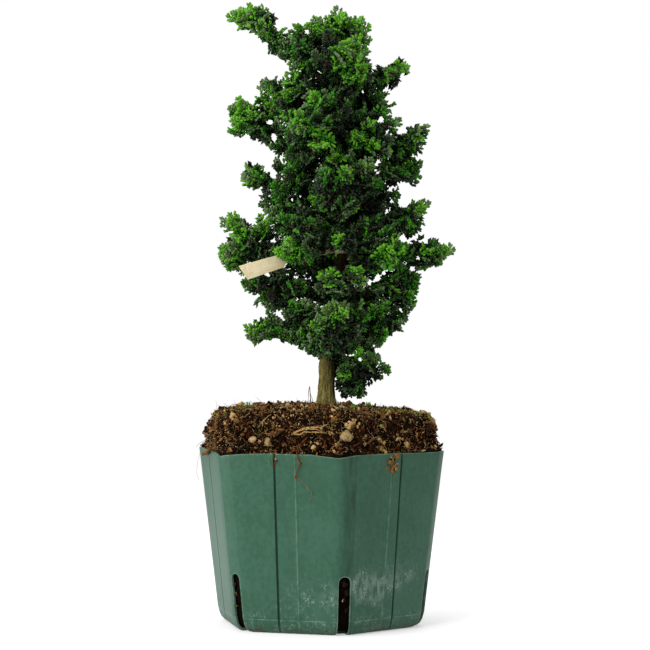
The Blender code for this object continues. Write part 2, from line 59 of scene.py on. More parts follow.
# %% [markdown]
# ## Camera, light and floor
#
# The photograph was taken with a long lens, level with the lower foliage, in front of a bright white sweep.
# A far camera with a long lens keeps the pot's verticals nearly parallel as they are there. Two broad soft
# lights and a white surround give faint shadows, and the floor fades into that surround, so that no horizon
# shows.

# %% Place the camera
CAMERA_SPOT = Vector((0.0034, -1.6, 0.2047))
CAMERA_LENS = 128.9

camera_data = bpy.data.cameras.new("camera")
camera_data.lens = CAMERA_LENS
camera_data.sensor_width = 36
camera = bpy.data.objects.new("camera", camera_data)
camera.location = CAMERA_SPOT
camera.rotation_euler = (math.pi / 2, 0, 0)
bpy.context.scene.collection.objects.link(camera)
bpy.context.scene.camera = camera
bpy.context.scene.view_settings.view_transform = "Standard"
print("camera", tuple(camera.location))

# %% [markdown]
# The broad key light hangs high at the front left, so the shadow is soft. One light from the left side, a
# weak one from the right and one from above and behind pick out the edges. The surround looks white to the
# camera, but it lights the plant at only about half of that, which keeps the inside of the crown dark.

# %% Hang the lights
LIGHT_AIM = Vector((0, 0, 0.2))
LIGHTS = (
    ("key", (-1.3, -1.5, 1.5), 1.6, 53),
    ("side", (-1.7, -0.1, 0.5), 1.0, 16),
    ("fill", (1.5, -1.2, 0.8), 1.2, 7),
    ("top", (0.1, 0.5, 1.9), 1.4, 26),
)  # name, place, side in metres, watts
AROUND_LIGHT = 0.52

for name, place, side, watts in LIGHTS:
    data = bpy.data.lights.new(name, "AREA")
    data.size = side
    data.energy = watts
    lamp = bpy.data.objects.new(name, data)
    lamp.location = place
    lamp.rotation_euler = (LIGHT_AIM - lamp.location).to_track_quat("-Z", "Y").to_euler()
    bpy.context.scene.collection.objects.link(lamp)

world = bpy.data.worlds.new("surround")
world.use_nodes = True
bpy.context.scene.world = world
air = world.node_tree
sky = air.nodes["Background"]
sky.inputs["Color"].default_value = (1, 1, 1, 1)
ray = air.nodes.new("ShaderNodeLightPath")
level = air.nodes.new("ShaderNodeMapRange")
level.inputs["To Min"].default_value = AROUND_LIGHT
level.inputs["To Max"].default_value = 1
air.links.new(ray.outputs["Is Camera Ray"], level.inputs["Value"])
air.links.new(level.outputs["Result"], sky.inputs["Strength"])
print("lights", len(LIGHTS))

# %% [markdown]
# ## Small helpers
#
# Every finish is a tree of shader nodes. Setting one up by hand takes three lines a node, so `add` makes a
# node and sets or links its sockets in one call. The soil and the leaves are thousands of small copies:
# numpy moves them all at once, and one mesh takes them, which is much quicker than an object for each.


# %% Helpers for shader nodes
def add(tree, kind, settings=(), **sockets):
    """A shader node with these settings; its sockets, by name or as i0, take values or outputs."""
    made = tree.nodes.new("ShaderNode" + kind)
    for key, value in dict(settings).items():
        setattr(made, key, value)
    for key, value in sockets.items():
        numbered = key[0] == "i" and key[1:].isdigit()
        socket = made.inputs[int(key[1:]) if numbered else key.replace("_", " ")]
        if isinstance(value, bpy.types.NodeSocket):
            tree.links.new(value, socket)
        else:
            socket.default_value = value
    return made


def mixed(tree, share, low, high):
    """The mix of two colours by a share."""
    return add(tree, "Mix", {"data_type": "RGBA"}, i0=share, i6=low, i7=high).outputs[2]


def stepped(tree, value, start, end, low=0.0, high=1.0):
    """A value turned into a smooth step between start and end."""
    made = add(tree, "MapRange", {"interpolation_type": "SMOOTHSTEP"}, Value=value)
    for key, number in (("From Min", start), ("From Max", end), ("To Min", low), ("To Max", high)):
        made.inputs[key].default_value = number
    return made.outputs["Result"]


def calc(tree, operation, *values):
    """The outcome of one operation on numbers or sockets."""
    sockets = {f"i{k}": value for k, value in enumerate(values)}
    return add(tree, "Math", {"operation": operation}, **sockets).outputs[0]


def times(tree, first, second):
    return calc(tree, "MULTIPLY", first, second)


def length_of(tree, vector):
    return add(tree, "VectorMath", {"operation": "LENGTH"}, i0=vector).outputs["Value"]


def speckle(tree, point, scale, detail, **more):
    """The value of a noise texture."""
    return add(tree, "TexNoise", Vector=point, Scale=scale, Detail=detail, **more).outputs[0]


STUDIO_GAIN = 1.8


def colour(red, green, blue):
    """A colour as the eye sees it lit, from 0 to 255, as the linear colour of the surface itself."""
    parts = (v / 255 for v in (red, green, blue))
    return (*((v / 12.92 if v <= 0.04045 else ((v + 0.055) / 1.055) ** 2.4) / STUDIO_GAIN for v in parts), 1)


def material_of(name, base, roughness, **plain):
    """A material with plain values."""
    made = bpy.data.materials.new(name)
    made.use_nodes = True
    shader = made.node_tree.nodes["Principled BSDF"]
    shader.inputs["Base Color"].default_value = base
    shader.inputs["Roughness"].default_value = roughness
    for key, value in plain.items():
        shader.inputs[key.replace("_", " ")].default_value = value
    return made


def opened(name, base, roughness, **plain):
    """A material, its node tree, its shader's sockets and the object's own coordinates."""
    made = material_of(name, base, roughness, **plain)
    tree = made.node_tree
    return made, tree, tree.nodes["Principled BSDF"].inputs, add(tree, "TexCoord").outputs["Object"]


print("helpers for shaders ready")

# %% [markdown]
# These helpers hang a mesh on the part, build meshes from arrays, and copy, join and draw small shapes as
# points and triangles. A thread is a closed tube round a line of points. It serves for rootlets, roots,
# twigs and stems alike.


# %% Helpers for meshes
def piece(mesh, slot, *nodes):
    """An object for this mesh that rides on the part and stands for these CAD nodes; its slot is not used."""
    made = bpy.data.objects.new(mesh.name, mesh)
    bpy.context.scene.collection.objects.link(made)
    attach(made, "root")
    if nodes:
        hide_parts(*nodes)
    return made


def mesh_from(bm, name, *materials):
    """The mesh of a finished bmesh."""
    mesh = bpy.data.meshes.new(name)
    bm.to_mesh(mesh)
    bm.free()
    for material in materials:
        mesh.materials.append(material)
    return mesh


def mesh_of_arrays(name, points, triangles, materials, shades=None, smooth=True):
    """One mesh from arrays of points, triangles and each triangle's material."""
    mesh = bpy.data.meshes.new(name)
    mesh.vertices.add(len(points))
    mesh.vertices.foreach_set("co", np.asarray(points, np.float32).ravel())
    mesh.loops.add(len(triangles) * 3)
    mesh.loops.foreach_set("vertex_index", np.asarray(triangles, np.int32).ravel())
    mesh.polygons.add(len(triangles))
    mesh.polygons.foreach_set("loop_start", np.arange(len(triangles), dtype=np.int32) * 3)
    for material in materials:
        mesh.materials.append(material)
    if shades is not None:
        mesh.polygons.foreach_set("material_index", np.asarray(shades, np.int32))
    mesh.update(calc_edges=True)
    if smooth:
        mesh.shade_smooth()
    return mesh


def solid_copy(*names):
    """The solids of some CAD nodes in one bmesh, each with its corners joined up."""
    bm = bmesh.new()
    for name in names:
        bm.from_mesh(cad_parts[name].data)
    bmesh.ops.remove_doubles(bm, verts=bm.verts, dist=1e-5)
    return bm


def extruded(bm, edges):
    """One more ring that is extruded from these edges: its edges and its points."""
    grown = bmesh.ops.extrude_edge_only(bm, edges=edges)["geom"]
    edges = [e for e in grown if isinstance(e, bmesh.types.BMEdge) and e.is_boundary]
    return edges, [v for v in grown if isinstance(v, bmesh.types.BMVert)]


def in_order(bm):
    """The same shape with its points and faces sorted; extruding and cutting list them anew each run."""
    points = sorted(bm.verts, key=lambda vert: vert.co[:])
    places = {vert: k for k, vert in enumerate(points)}
    sides = []
    for face in bm.faces:
        side = [places[vert] for vert in face.verts]
        first = side.index(min(side))
        sides.append(side[first:] + side[:first])
    mesh = bpy.data.meshes.new("in_order")
    mesh.from_pydata([vert.co[:] for vert in points], [], sorted(sides))
    bm.clear()
    bm.from_mesh(mesh)
    bpy.data.meshes.remove(mesh)
    return bm


def shape_arrays(bm):
    """The points and triangles of a small shape that is to be copied many times."""
    bmesh.ops.triangulate(bm, faces=bm.faces)
    bm.verts.index_update()
    points = np.array([vert.co[:] for vert in bm.verts])
    triangles = np.array([[vert.index for vert in face.verts] for face in bm.faces])
    bm.free()
    return points, triangles


def copies(shape, places):
    """Copies of a small shape, one for each 3 by 4 place, as points and triangles."""
    points, triangles = shape
    moved = np.einsum("nij,kj->nki", places[:, :, :3], points) + places[:, None, :, 3]
    first = np.arange(len(places))[:, None, None] * len(points)
    return moved.reshape(-1, 3), (triangles[None] + first).reshape(-1, 3)


def joined(parts):
    """Several (points, triangles, shades) as one."""
    points, triangles, shades, count = [], [], [], 0
    for some, faces, shade in parts:
        points.append(some)
        triangles.append(faces + count)
        shades.append(np.broadcast_to(shade, len(faces)))
        count += len(some)
    return np.concatenate(points), np.concatenate(triangles), np.concatenate(shades)


def thread(points, radii, sides=3):
    """A thin closed tube along a line of points, as points and triangles."""
    line = np.asarray(points, float)
    ways = np.gradient(line, axis=0)
    ways /= np.linalg.norm(ways, axis=1)[:, None] + 1e-12
    across = np.cross(ways, (0.3, 0.2, 0.93))
    across /= np.linalg.norm(across, axis=1)[:, None] + 1e-12
    over = np.cross(across, ways)
    turns = np.arange(sides) * math.tau / sides
    radii = np.broadcast_to(radii, len(line))[:, None, None]
    ring = across[:, None] * np.cos(turns)[None, :, None] + over[:, None] * np.sin(turns)[None, :, None]
    tube = (line[:, None] + ring * radii).reshape(-1, 3)
    faces = []
    for i in range(len(line) - 1):
        for j in range(sides):
            a, b = i * sides + j, i * sides + (j + 1) % sides
            faces += [(a, a + sides, b), (b, a + sides, b + sides)]
    ends = len(line) * sides
    for j in range(sides):
        k = (j + 1) % sides
        faces += [(ends, j, k), (ends + 1, ends - sides + k, ends - sides + j)]
    return np.vstack([tube, line[:1], line[-1:]]), np.array(faces)


def node_points(name):
    """The corners of a CAD node."""
    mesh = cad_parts[name].data
    points = np.empty(len(mesh.vertices) * 3)
    mesh.vertices.foreach_get("co", points)
    return np.unique(points.reshape(-1, 3).round(6), axis=0)


print("helpers for meshes ready")

# %% [markdown]
# ## Shared effects as node groups
#
# Plastic, soil, bark and the tag all vary a little from place to place. A node group holds that effect
# once, with named inputs, and each material sets its own scale and colours. Here "mottle" turns two sizes
# of noise into a mix of two colours and a height, and "patches" gives a broken mask for scuffs and dirt.


# %% Build the mottle group
def group_of(name, inputs, outputs):
    """An empty shader node group with these sockets, and its two end nodes."""
    tree = bpy.data.node_groups.new(name, "ShaderNodeTree")
    for direction, sockets in (("INPUT", inputs), ("OUTPUT", outputs)):
        for key, kind in sockets:
            tree.interface.new_socket(name=key, in_out=direction, socket_type="NodeSocket" + kind)
    return tree, tree.nodes.new("NodeGroupInput").outputs, tree.nodes.new("NodeGroupOutput").inputs


NOISE_SOCKETS = [("Coordinates", "Vector"), ("Scale", "Float"), ("Fine Scale", "Float")]


def mottle_group():
    sockets = NOISE_SOCKETS + [("First", "Color"), ("Second", "Color")]
    tree, given, made = group_of("mottle", sockets, [("Color", "Color"), ("Height", "Float")])
    wide = speckle(tree, given["Coordinates"], given["Scale"], 4, Roughness=0.6)
    fine = speckle(tree, given["Coordinates"], given["Fine Scale"], 3, Roughness=0.65)
    share = stepped(tree, calc(tree, "ADD", wide, fine), 0.75, 1.25)
    tree.links.new(mixed(tree, share, given["First"], given["Second"]), made["Color"])
    tree.links.new(fine, made["Height"])
    return tree


def patches_group():
    sockets = NOISE_SOCKETS + [("Amount", "Float")]
    tree, given, made = group_of("patches", sockets, [("Mask", "Float")])
    wide = speckle(tree, given["Coordinates"], given["Scale"], 2)
    fine = speckle(tree, given["Coordinates"], given["Fine Scale"], 5, Roughness=0.7)
    wide_share = stepped(tree, wide, 0.35, 0.75)
    fine_share = stepped(tree, fine, 0.48, 0.66)
    both = times(tree, wide_share, fine_share)
    tree.links.new(times(tree, both, given["Amount"]), made["Mask"])
    return tree


mottle_tree, patches_tree = mottle_group(), patches_group()


def grouped(tree, group, coordinates, scale, fine_scale, **more):
    """The outputs of a group in a material, with this material's own values."""
    sockets = {"Coordinates": coordinates, "Scale": scale, "Fine_Scale": fine_scale, **more}
    return add(tree, "Group", {"node_tree": group}, **sockets).outputs


def mottle(tree, coordinates, scale, fine_scale, first, second):
    return grouped(tree, mottle_tree, coordinates, scale, fine_scale, First=first, Second=second)


def patches(tree, coordinates, scale, fine_scale, amount):
    return grouped(tree, patches_tree, coordinates, scale, fine_scale, Amount=amount)["Mask"]


def bump(tree, height, strength, distance):
    """A relief too fine for the mesh, as a normal."""
    return add(tree, "Bump", Height=height, Strength=strength, Distance=distance).outputs[0]


print("groups", mottle_tree.name, patches_tree.name)

# %% [markdown]
# ## The pot
#
# The pot is a cut-down six-sided nursery pot. Each side carries a fine groove and a fine rib a few
# millimetres from its middle, and one side's rib has worn away. A slot runs up each corner from the base,
# and the rim was cut by hand, so it waves a little. The outline of the base is drawn once, extruded upwards
# in steps, and each step is set to the outline at its own height. Then the wall gets its thickness, and six
# cutters take out the slots.

# %% Work out the outline of the pot
POT_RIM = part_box("pot")[1].z
POT_CORNER_RADIUS = 0.0867
POT_CORNER_TURN = math.radians(12.4)
POT_CHAMFER = 0.011
POT_TAPER = 0.125
POT_WALL = 0.0016
SIXTH = math.tau / 6
BASE_ROUND = ((0.0, 0.0065), (0.0008, 0.0038), (0.0026, 0.0017), (0.0055, 0.0005))
LEDGE_HEIGHT = 0.0095
LEDGE_STEP = 0.00018
MARKS = (
    (0.0031, 0.0055, -0.0056, -0.0043), (-0.0070, -0.0075, 0.0072, 0.0066),
    (0.0070, 0.0075, -0.0072, -0.0066), (-0.0070, -0.0075, 0.0072, 0.0066),
    (0.0000, -0.0060, -0.0130, -0.0160), (-0.0070, -0.0077, 0.0074, 0.0063),
)  # for each side: the groove at the rim and at the base, then the rib, from the side's middle
GROOVE = ((-0.0009, 0), (-0.00035, -0.0010), (0.00035, -0.0010), (0.0009, 0))
RIB = ((-0.0007, 0), (-0.0001, 0.0003), (0.0001, 0.0003), (0.0007, 0))
CORNER_SUPPORT = 0.0016
MARK_ROOM = 0.0018
BARE_SIDE = 4  # its rib has worn away


def pot_radius(height):
    return POT_CORNER_RADIUS - POT_TAPER * (POT_RIM - height)


def at_bearing(radius, angle, height):
    """A point at this angle from the front, turning to the right."""
    return Vector((radius * math.sin(angle), -radius * math.cos(angle), height))


def ramp(value, start, length):
    """A share that grows evenly from nothing at start to one a length further on."""
    return min(1, max(0, (value - start) / length))


def mark_places(k, height):
    """Where the groove and the rib of a side lie at a height; they lean a little."""
    groove_top, groove_low, rib_top, rib_low = MARKS[k]
    share = ramp(POT_RIM - height, 0, POT_RIM)
    return groove_top + (groove_low - groove_top) * share, rib_top + (rib_low - rib_top) * share


def pot_outline(radius, height, relief=1.0):
    """The pot's plan at a height: narrow corner bands, and sides with a groove and a rib."""
    half_band = math.asin(POT_CHAMFER / 2 / radius)
    outline = []
    for k in range(6):
        corner = POT_CORNER_TURN + SIXTH * k
        start = at_bearing(radius, corner - half_band, height)
        end = at_bearing(radius, corner + half_band, height)
        after = at_bearing(radius, corner + SIXTH - half_band, height)
        support = (end - start).normalized() * CORNER_SUPPORT
        outline += [start + support * 0.5, end - support * 0.5]
        along = (after - end).normalized()
        outwards = Vector((along.y, -along.x, 0))
        middle = (end + after) / 2
        half = (after - end).length / 2 - CORNER_SUPPORT * 0.5
        groove, rib = mark_places(k, height)
        marks = [(groove + s, d * relief) for s, d in GROOVE]
        marks += [(rib + s, d * relief * (k != BARE_SIDE)) for s, d in RIB]
        left, right = min(groove, rib), max(groove, rib)
        marks += [(s, 0) for s in np.linspace(-half, left - MARK_ROOM, 4)]
        marks += [(s, 0) for s in np.linspace(left + MARK_ROOM, right - MARK_ROOM, 5)]
        marks += [(s, 0) for s in np.linspace(right + MARK_ROOM, half, 4)]
        outline += [middle + along * s + outwards * d for s, d in sorted(marks)]
    return outline


print("points round the pot", len(pot_outline(pot_radius(0.05), 0.05)))

# %% [markdown]
# The rim's wave comes from a few named dips. The deepest lie at the front corner and by the left corner,
# where the plastic was cut a little short.

# %% Shape the pot's shell
RIM_DIPS = ((-50, 4.0, 0.0022), (-43, 3.5, 0.0008), (7, 6.0, 0.0022), (62, 14.0, 0.0006), (150, 9.0, 0.0016))
RIM_WAVE = 0.0007
POT_LEVELS = (0.0098, 0.0108, 0.0180, 0.0280, 0.0380, 0.0500, 0.0700, 0.0900, 0.1050, 0.1130, 0.1175, 0.1197)
RIM_BLEND = 0.012


def turn_round(point):
    """The bearing of a point from the middle of the front corner, where no outline has one of its own."""
    return (math.atan2(point.x, -point.y) - POT_CORNER_TURN) % math.tau


def rim_drop(point):
    """How far the cut edge lies under the rim's height, at a point's bearing from the middle."""
    bearing = math.degrees(math.atan2(point.x, -point.y))
    drop = RIM_WAVE * (1 + noise.noise(Vector((point.x, point.y, 0)) * 45))
    for middle, width, depth in RIM_DIPS:
        turn = (bearing - middle + 180) % 360 - 180
        drop += depth * math.exp(-((turn / width) ** 2))
    return drop


def pot_shell():
    """The outer skin from the base to the rim, then a wall of even thickness."""
    bm = bmesh.new()
    rows = [(z, pot_radius(z) - inset) for z, inset in BASE_ROUND]
    rows += [(z, pot_radius(z)) for z in (LEDGE_HEIGHT - 0.0008, LEDGE_HEIGHT)]
    rows += [(z, pot_radius(z) + LEDGE_STEP) for z in POT_LEVELS]
    rows.append((POT_RIM, pot_radius(POT_RIM)))
    first = sorted(pot_outline(rows[0][1], 0, 0), key=turn_round)
    bmesh.ops.create_circle(bm, segments=len(first), radius=1, cap_ends=True)
    for vert, point in zip(sorted(bm.verts, key=lambda vert: turn_round(vert.co)), first):
        vert.co = point
    edges = list(bm.edges)
    for height, radius in rows[1:]:
        edges, verts = extruded(bm, edges)
        verts.sort(key=lambda vert: turn_round(vert.co))
        outline = sorted(pot_outline(radius, height, min(1, height / LEDGE_HEIGHT)), key=turn_round)
        for vert, point in zip(verts, outline):
            vert.co = point
    for vert in bm.verts:
        share = max(0, 1 - (POT_RIM - vert.co.z) / RIM_BLEND)
        vert.co.z -= rim_drop(vert.co) * share
    bmesh.ops.recalc_face_normals(bm, faces=bm.faces)
    bm = in_order(bm)
    bmesh.ops.solidify(bm, geom=bm.faces[:], thickness=POT_WALL)
    bmesh.ops.recalc_face_normals(bm, faces=bm.faces)
    return in_order(bm)


print("levels up the pot", len(BASE_ROUND) + len(POT_LEVELS) + 3)

# %% [markdown]
# The slots are moulded with an arched top. Six cutters with a round upper end reach through the wall at the
# corners and down past the base. One boolean cut takes them all out of the shell, so their edges stay
# crisp.

# %% Cut the corner slots
SLOT_WIDTH = 0.0080
SLOT_TOP = 0.0394
SLOT_INNER = 0.058
SLOT_ARCH_SIDES = 20


def slot_cutters():
    """Six rounded cutters that reach through the wall at the corners and under the base."""
    bm = bmesh.new()
    reach = POT_CORNER_RADIUS + 0.002 - SLOT_INNER
    for k in range(6):
        turn = POT_CORNER_TURN + SIXTH * k
        lying = Matrix.Rotation(turn, 4, "Z") @ Matrix.Rotation(math.pi / 2, 4, "X")
        place = Matrix.Translation(at_bearing(SLOT_INNER + reach / 2, turn, SLOT_TOP - SLOT_WIDTH / 2))
        half = SLOT_WIDTH / 2
        cone = bmesh.ops.create_cone(
            bm, cap_ends=True, segments=SLOT_ARCH_SIDES, radius1=half, radius2=half, depth=reach
        )
        for vert in cone["verts"]:
            if vert.co.y < -1e-6:
                vert.co.y = -SLOT_TOP
        bmesh.ops.transform(bm, matrix=place @ lying, verts=cone["verts"])
    return bm


def cut_pot(shell, cutters):
    """The pot's mesh after the cut."""
    pot = bpy.data.objects.new("pot_cut", mesh_from(shell, "pot_cut"))
    tool = bpy.data.objects.new("pot_tool", mesh_from(cutters, "pot_tool"))
    for each in (pot, tool):
        bpy.context.scene.collection.objects.link(each)
    cut = pot.modifiers.new("slots", "BOOLEAN")
    cut.operation = "DIFFERENCE"
    cut.object = tool
    bm = bmesh.new()
    bm.from_object(pot, bpy.context.evaluated_depsgraph_get())
    bpy.data.objects.remove(pot)
    bpy.data.objects.remove(tool)
    return mesh_from(in_order(bm), "pot_shell")


pot_mesh = cut_pot(pot_shell(), slot_cutters())
print("pot faces", len(pot_mesh.polygons))

# %% [markdown]
# ## Satin green plastic
#
# Moulded polypropylene is a dull green with a soft gloss. Handling left pale scuffs near the foot, and soil
# has dried in small brown specks. A painted highlight runs along the cut rim, the ribs and the ledge, and
# painted shade lies in the grooves. These places follow the shape, so a point attribute marks them; scuffs
# and dirt are noise within a band of height.

# %% Mark the painted highlights and the groove shade
# Painted highlight on the cut rim, the ledge and the rib crests, and painted shade in the grooves.
RIM_HIGHLIGHT = 0.8
LEDGE_HIGHLIGHT = 0.8
RIB_HIGHLIGHT = 0.45
GROOVE_SHADE = -1.0


def edge_highlight_and_groove_shade(point):
    """The painted highlight at a point on ribs, ledge and cut rim; below nothing, painted shade in the
    grooves.
    """
    radius = math.hypot(point.x, point.y)
    turn = turn_round(point)
    k = int(turn / SIXTH)
    side = turn - k * SIXTH - SIXTH / 2
    along, out = radius * math.sin(side), radius * math.cos(side)
    flat = pot_radius(point.z) * math.cos(SIXTH / 2)
    outside = out > flat - POT_WALL * 0.8
    if point.z > POT_RIM - rim_drop(point) - 0.0002:
        return RIM_HIGHLIGHT
    groove, rib = mark_places(k, point.z)
    if outside and k != BARE_SIDE and abs(along - rib) < 0.00015:
        return RIB_HIGHLIGHT
    if outside and abs(along - groove) < 0.0004:
        return GROOVE_SHADE
    if outside and abs(point.z - LEDGE_HEIGHT) < 0.0001:
        return LEDGE_HIGHLIGHT
    return 0


highlight_and_shade = pot_mesh.attributes.new("highlight_and_shade", "FLOAT", "POINT")
for vert in pot_mesh.vertices:
    highlight_and_shade.data[vert.index].value = edge_highlight_and_groove_shade(vert.co)
print("worn points", sum(1 for value in highlight_and_shade.data if value.value > 0))

# %% [markdown]
# The finish is laid on in layers, from the green outwards: faint upright streaks, a band of painted shade
# beside the front corner, scuffs, painted highlights on the edges, painted shade in the grooves and dried
# soil. Each layer is a share between nothing and one that mixes its own colour in. The scuffs keep to
# places read from the photograph.

# %% Mix the plastic
SCUFF_SPOTS = (
    ((0.030, -0.071, 0.032), 0.018, 0.9), ((0.042, -0.063, 0.030), 0.020, 1.0),
    ((0.055, -0.054, 0.033), 0.020, 0.9), ((0.066, -0.046, 0.036), 0.017, 0.95),
    ((0.073, -0.041, 0.032), 0.013, 0.8), ((0.005, -0.078, 0.024), 0.020, 0.55),
    ((-0.012, -0.075, 0.022), 0.022, 0.45), ((-0.026, -0.071, 0.018), 0.018, 0.35),
    ((-0.072, -0.024, 0.008), 0.010, 0.7), ((-0.020, 0.072, 0.024), 0.024, 0.8),
    ((0.066, 0.030, 0.030), 0.020, 0.6),
)  # a place, its reach and how worn it is
SCUFF_HAZE = 0.6
SCUFF_FLECKS = 0.85


def either(tree, first, second):
    return calc(tree, "MAXIMUM", first, second)


def near_spot(tree, point, spot, reach):
    """One at a spot, falling to nothing at its reach."""
    far = add(tree, "VectorMath", {"operation": "DISTANCE"}, i0=point, i1=spot).outputs["Value"]
    return stepped(tree, far, reach, reach * 0.25)


def corner_places(tree, point):
    """Sockets for the bearing round the pot, the distance along the wall from a corner, and the height."""
    apart = add(tree, "SeparateXYZ", Vector=point)
    towards = times(tree, apart.outputs["Y"], -1.0)
    turn = calc(tree, "ARCTAN2", apart.outputs["X"], towards)
    near = calc(tree, "WRAP", calc(tree, "SUBTRACT", turn, POT_CORNER_TURN), SIXTH / 2, -SIXTH / 2)
    flat = add(tree, "CombineXYZ", X=apart.outputs["X"], Y=apart.outputs["Y"]).outputs[0]
    along = times(tree, calc(tree, "SINE", near), length_of(tree, flat))
    return turn, along, apart.outputs["Z"]


def slot_edge(tree, along, height):
    """One on the cut edge of a slot, where the painted highlight goes."""
    above = either(tree, calc(tree, "SUBTRACT", height, SLOT_TOP - SLOT_WIDTH / 2), 0.0)
    away = add(tree, "CombineXYZ", X=along, Y=above).outputs[0]
    off = calc(tree, "ABSOLUTE", calc(tree, "SUBTRACT", length_of(tree, away), SLOT_WIDTH / 2))
    return stepped(tree, off, 0.0005, 0.0002)


def plastic():
    made, tree, surface, point = opened("pot_plastic", colour(58, 101, 80), 0.42, Specular_IOR_Level=0.16)
    turn, along, height = corner_places(tree, point)
    base = mottle(tree, point, 24, 300, colour(58, 103, 80), colour(70, 116, 93))["Color"]
    upright = add(tree, "Mapping", Vector=point, Scale=(420, 420, 8)).outputs[0]
    lines = speckle(tree, upright, 1, 3)
    base = mixed(tree, stepped(tree, lines, 0.45, 0.80, 0, 0.22), base, colour(88, 127, 109))
    # Painted shade: a darker band just right of the front corner.
    shade = times(tree, stepped(tree, turn, 0.14, 0.25), stepped(tree, turn, 0.295, 0.28))
    shade = times(tree, shade, stepped(tree, lines, 0.30, 0.60, 1.0, 0.45))
    base = mixed(tree, times(tree, shade, 0.75), base, colour(38, 65, 50))
    zone = None
    for spot, reach, strength in SCUFF_SPOTS:
        one = times(tree, near_spot(tree, point, spot, reach), strength)
        zone = one if zone is None else either(tree, zone, one)
    foot = stepped(tree, height, 0.020, 0.006, 0, 0.35)
    brushed = add(tree, "Mapping", Vector=point, Rotation=(0.2, 0.5, 0.3), Scale=(320, 320, 120)).outputs[0]
    brush = stepped(tree, speckle(tree, brushed, 1, 4), 0.38, 0.68)
    haze = times(tree, times(tree, brush, times(tree, zone, zone)), SCUFF_HAZE)
    flecks = times(tree, either(tree, zone, foot), SCUFF_FLECKS)
    flecks = times(tree, patches(tree, point, 150, 700, 2.4), flecks)
    scuff = either(tree, haze, flecks)
    base = mixed(tree, scuff, base, colour(176, 194, 184))
    # Painted highlight: pale along the cut rim, the ribs, the ledge and the slot edges, broken by noise.
    highlight_shade_share = add(tree, "Attribute", {"attribute_name": "highlight_and_shade"}).outputs["Fac"]
    broken = stepped(tree, speckle(tree, point, 150, 3), 0.35, 0.6, 0.2, 1)
    pale = either(tree, add(tree, "Clamp", Value=highlight_shade_share).outputs[0], slot_edge(tree, along, height))
    base = mixed(tree, times(tree, pale, broken), base, colour(136, 170, 148))
    # Painted shade: dark green in the grooves, where the attribute is below nothing.
    painted_groove_shade = add(tree, "Clamp", Value=times(tree, highlight_shade_share, -1.0)).outputs[0]
    base = mixed(tree, times(tree, painted_groove_shade, 0.75), base, colour(20, 40, 30))
    low = stepped(tree, height, 0.009, 0.001)
    collar = stepped(tree, height, 0.100, 0.119, 0, 0.30)
    dirt = times(tree, patches(tree, point, 60, 420, 1.8), either(tree, low, collar))
    base = mixed(tree, dirt, base, colour(104, 82, 50))
    tree.links.new(base, surface["Base Color"])
    rough = calc(tree, "MULTIPLY_ADD", scuff, 0.3, 0.40)
    rough = calc(tree, "MULTIPLY_ADD", dirt, 0.4, rough)
    tree.links.new(rough, surface["Roughness"])
    both = calc(tree, "MULTIPLY_ADD", lines, 0.8, speckle(tree, point, 800, 2))
    tree.links.new(bump(tree, both, 0.15, 0.0003), surface["Normal"])
    return made


pot_mesh.materials.clear()
pot_mesh.materials.append(plastic())
pot_mesh.shade_smooth()
pot_mesh.set_sharp_from_angle(angle=math.radians(32))
pot_piece = piece(pot_mesh, "pot", "pot")
print("pot", pot_piece.name)

# %% [markdown]
# ## The root ball
#
# The root ball stands proud of the cut rim. It is dark, fibrous and crumbly: bark bits, a few pale pumice
# grains, hair-thin rootlets and some moss. The body below is a copy of the CAD solid, cut finer above the
# rim and pushed in and out by noise, and its crest has settled a little to the right of the trunk. Flakes,
# rootlets and moss then lie on its real surface, found with a ray or as a random point of a face.

# %% Roughen the body of the root ball
SOIL_ROUGH = 0.0016
LUMP_SCALE = 140
SOIL_CUTS = (3, 3)
SOIL_EDGE = 0.0025  # a longer edge above the rim is cut
SOIL_START = POT_RIM - 0.004
SOIL_EASE = 0.004
SEAT_X = 0.004  # the trunk's foot, round which the soil stays smooth
SEAT_RADIUS = 0.01
SEAT_FROM = POT_RIM + 0.02
CREST_DIP = 0.0020  # how far the crest has settled
CREST_FROM = 0.016
CREST_EASE = 0.010
CREST_RIGHT = 0.014


def soil_body():
    """A finer copy of the root ball with a crumbly surface above the rim."""
    bm = solid_copy("root_ball")
    for cuts in SOIL_CUTS:
        upper = [e for e in bm.edges if max(v.co.z for v in e.verts) > SOIL_START]
        upper = [e for e in upper if e.calc_length() > SOIL_EDGE]
        bmesh.ops.subdivide_edges(bm, edges=upper, cuts=cuts, use_grid_fill=True)
    bm.normal_update()
    for vert in bm.verts:
        free = ramp(vert.co.z, SOIL_START, SOIL_EASE)
        if vert.co.z > SEAT_FROM:
            free *= ramp(math.hypot(vert.co.x - SEAT_X, vert.co.y), SEAT_RADIUS, SEAT_RADIUS)
        crumbly = noise.fractal(vert.co * 260, 0.8, 2.1, 4) + noise.noise(vert.co * LUMP_SCALE) - 0.15
        vert.co += vert.normal * SOIL_ROUGH * free * crumbly
        crest = ramp(vert.co.z - POT_RIM, CREST_FROM, CREST_EASE)
        vert.co.z -= CREST_DIP * crest * ramp(vert.co.x, CREST_RIGHT, CREST_RIGHT)
    bmesh.ops.triangulate(bm, faces=bm.faces)
    return bm


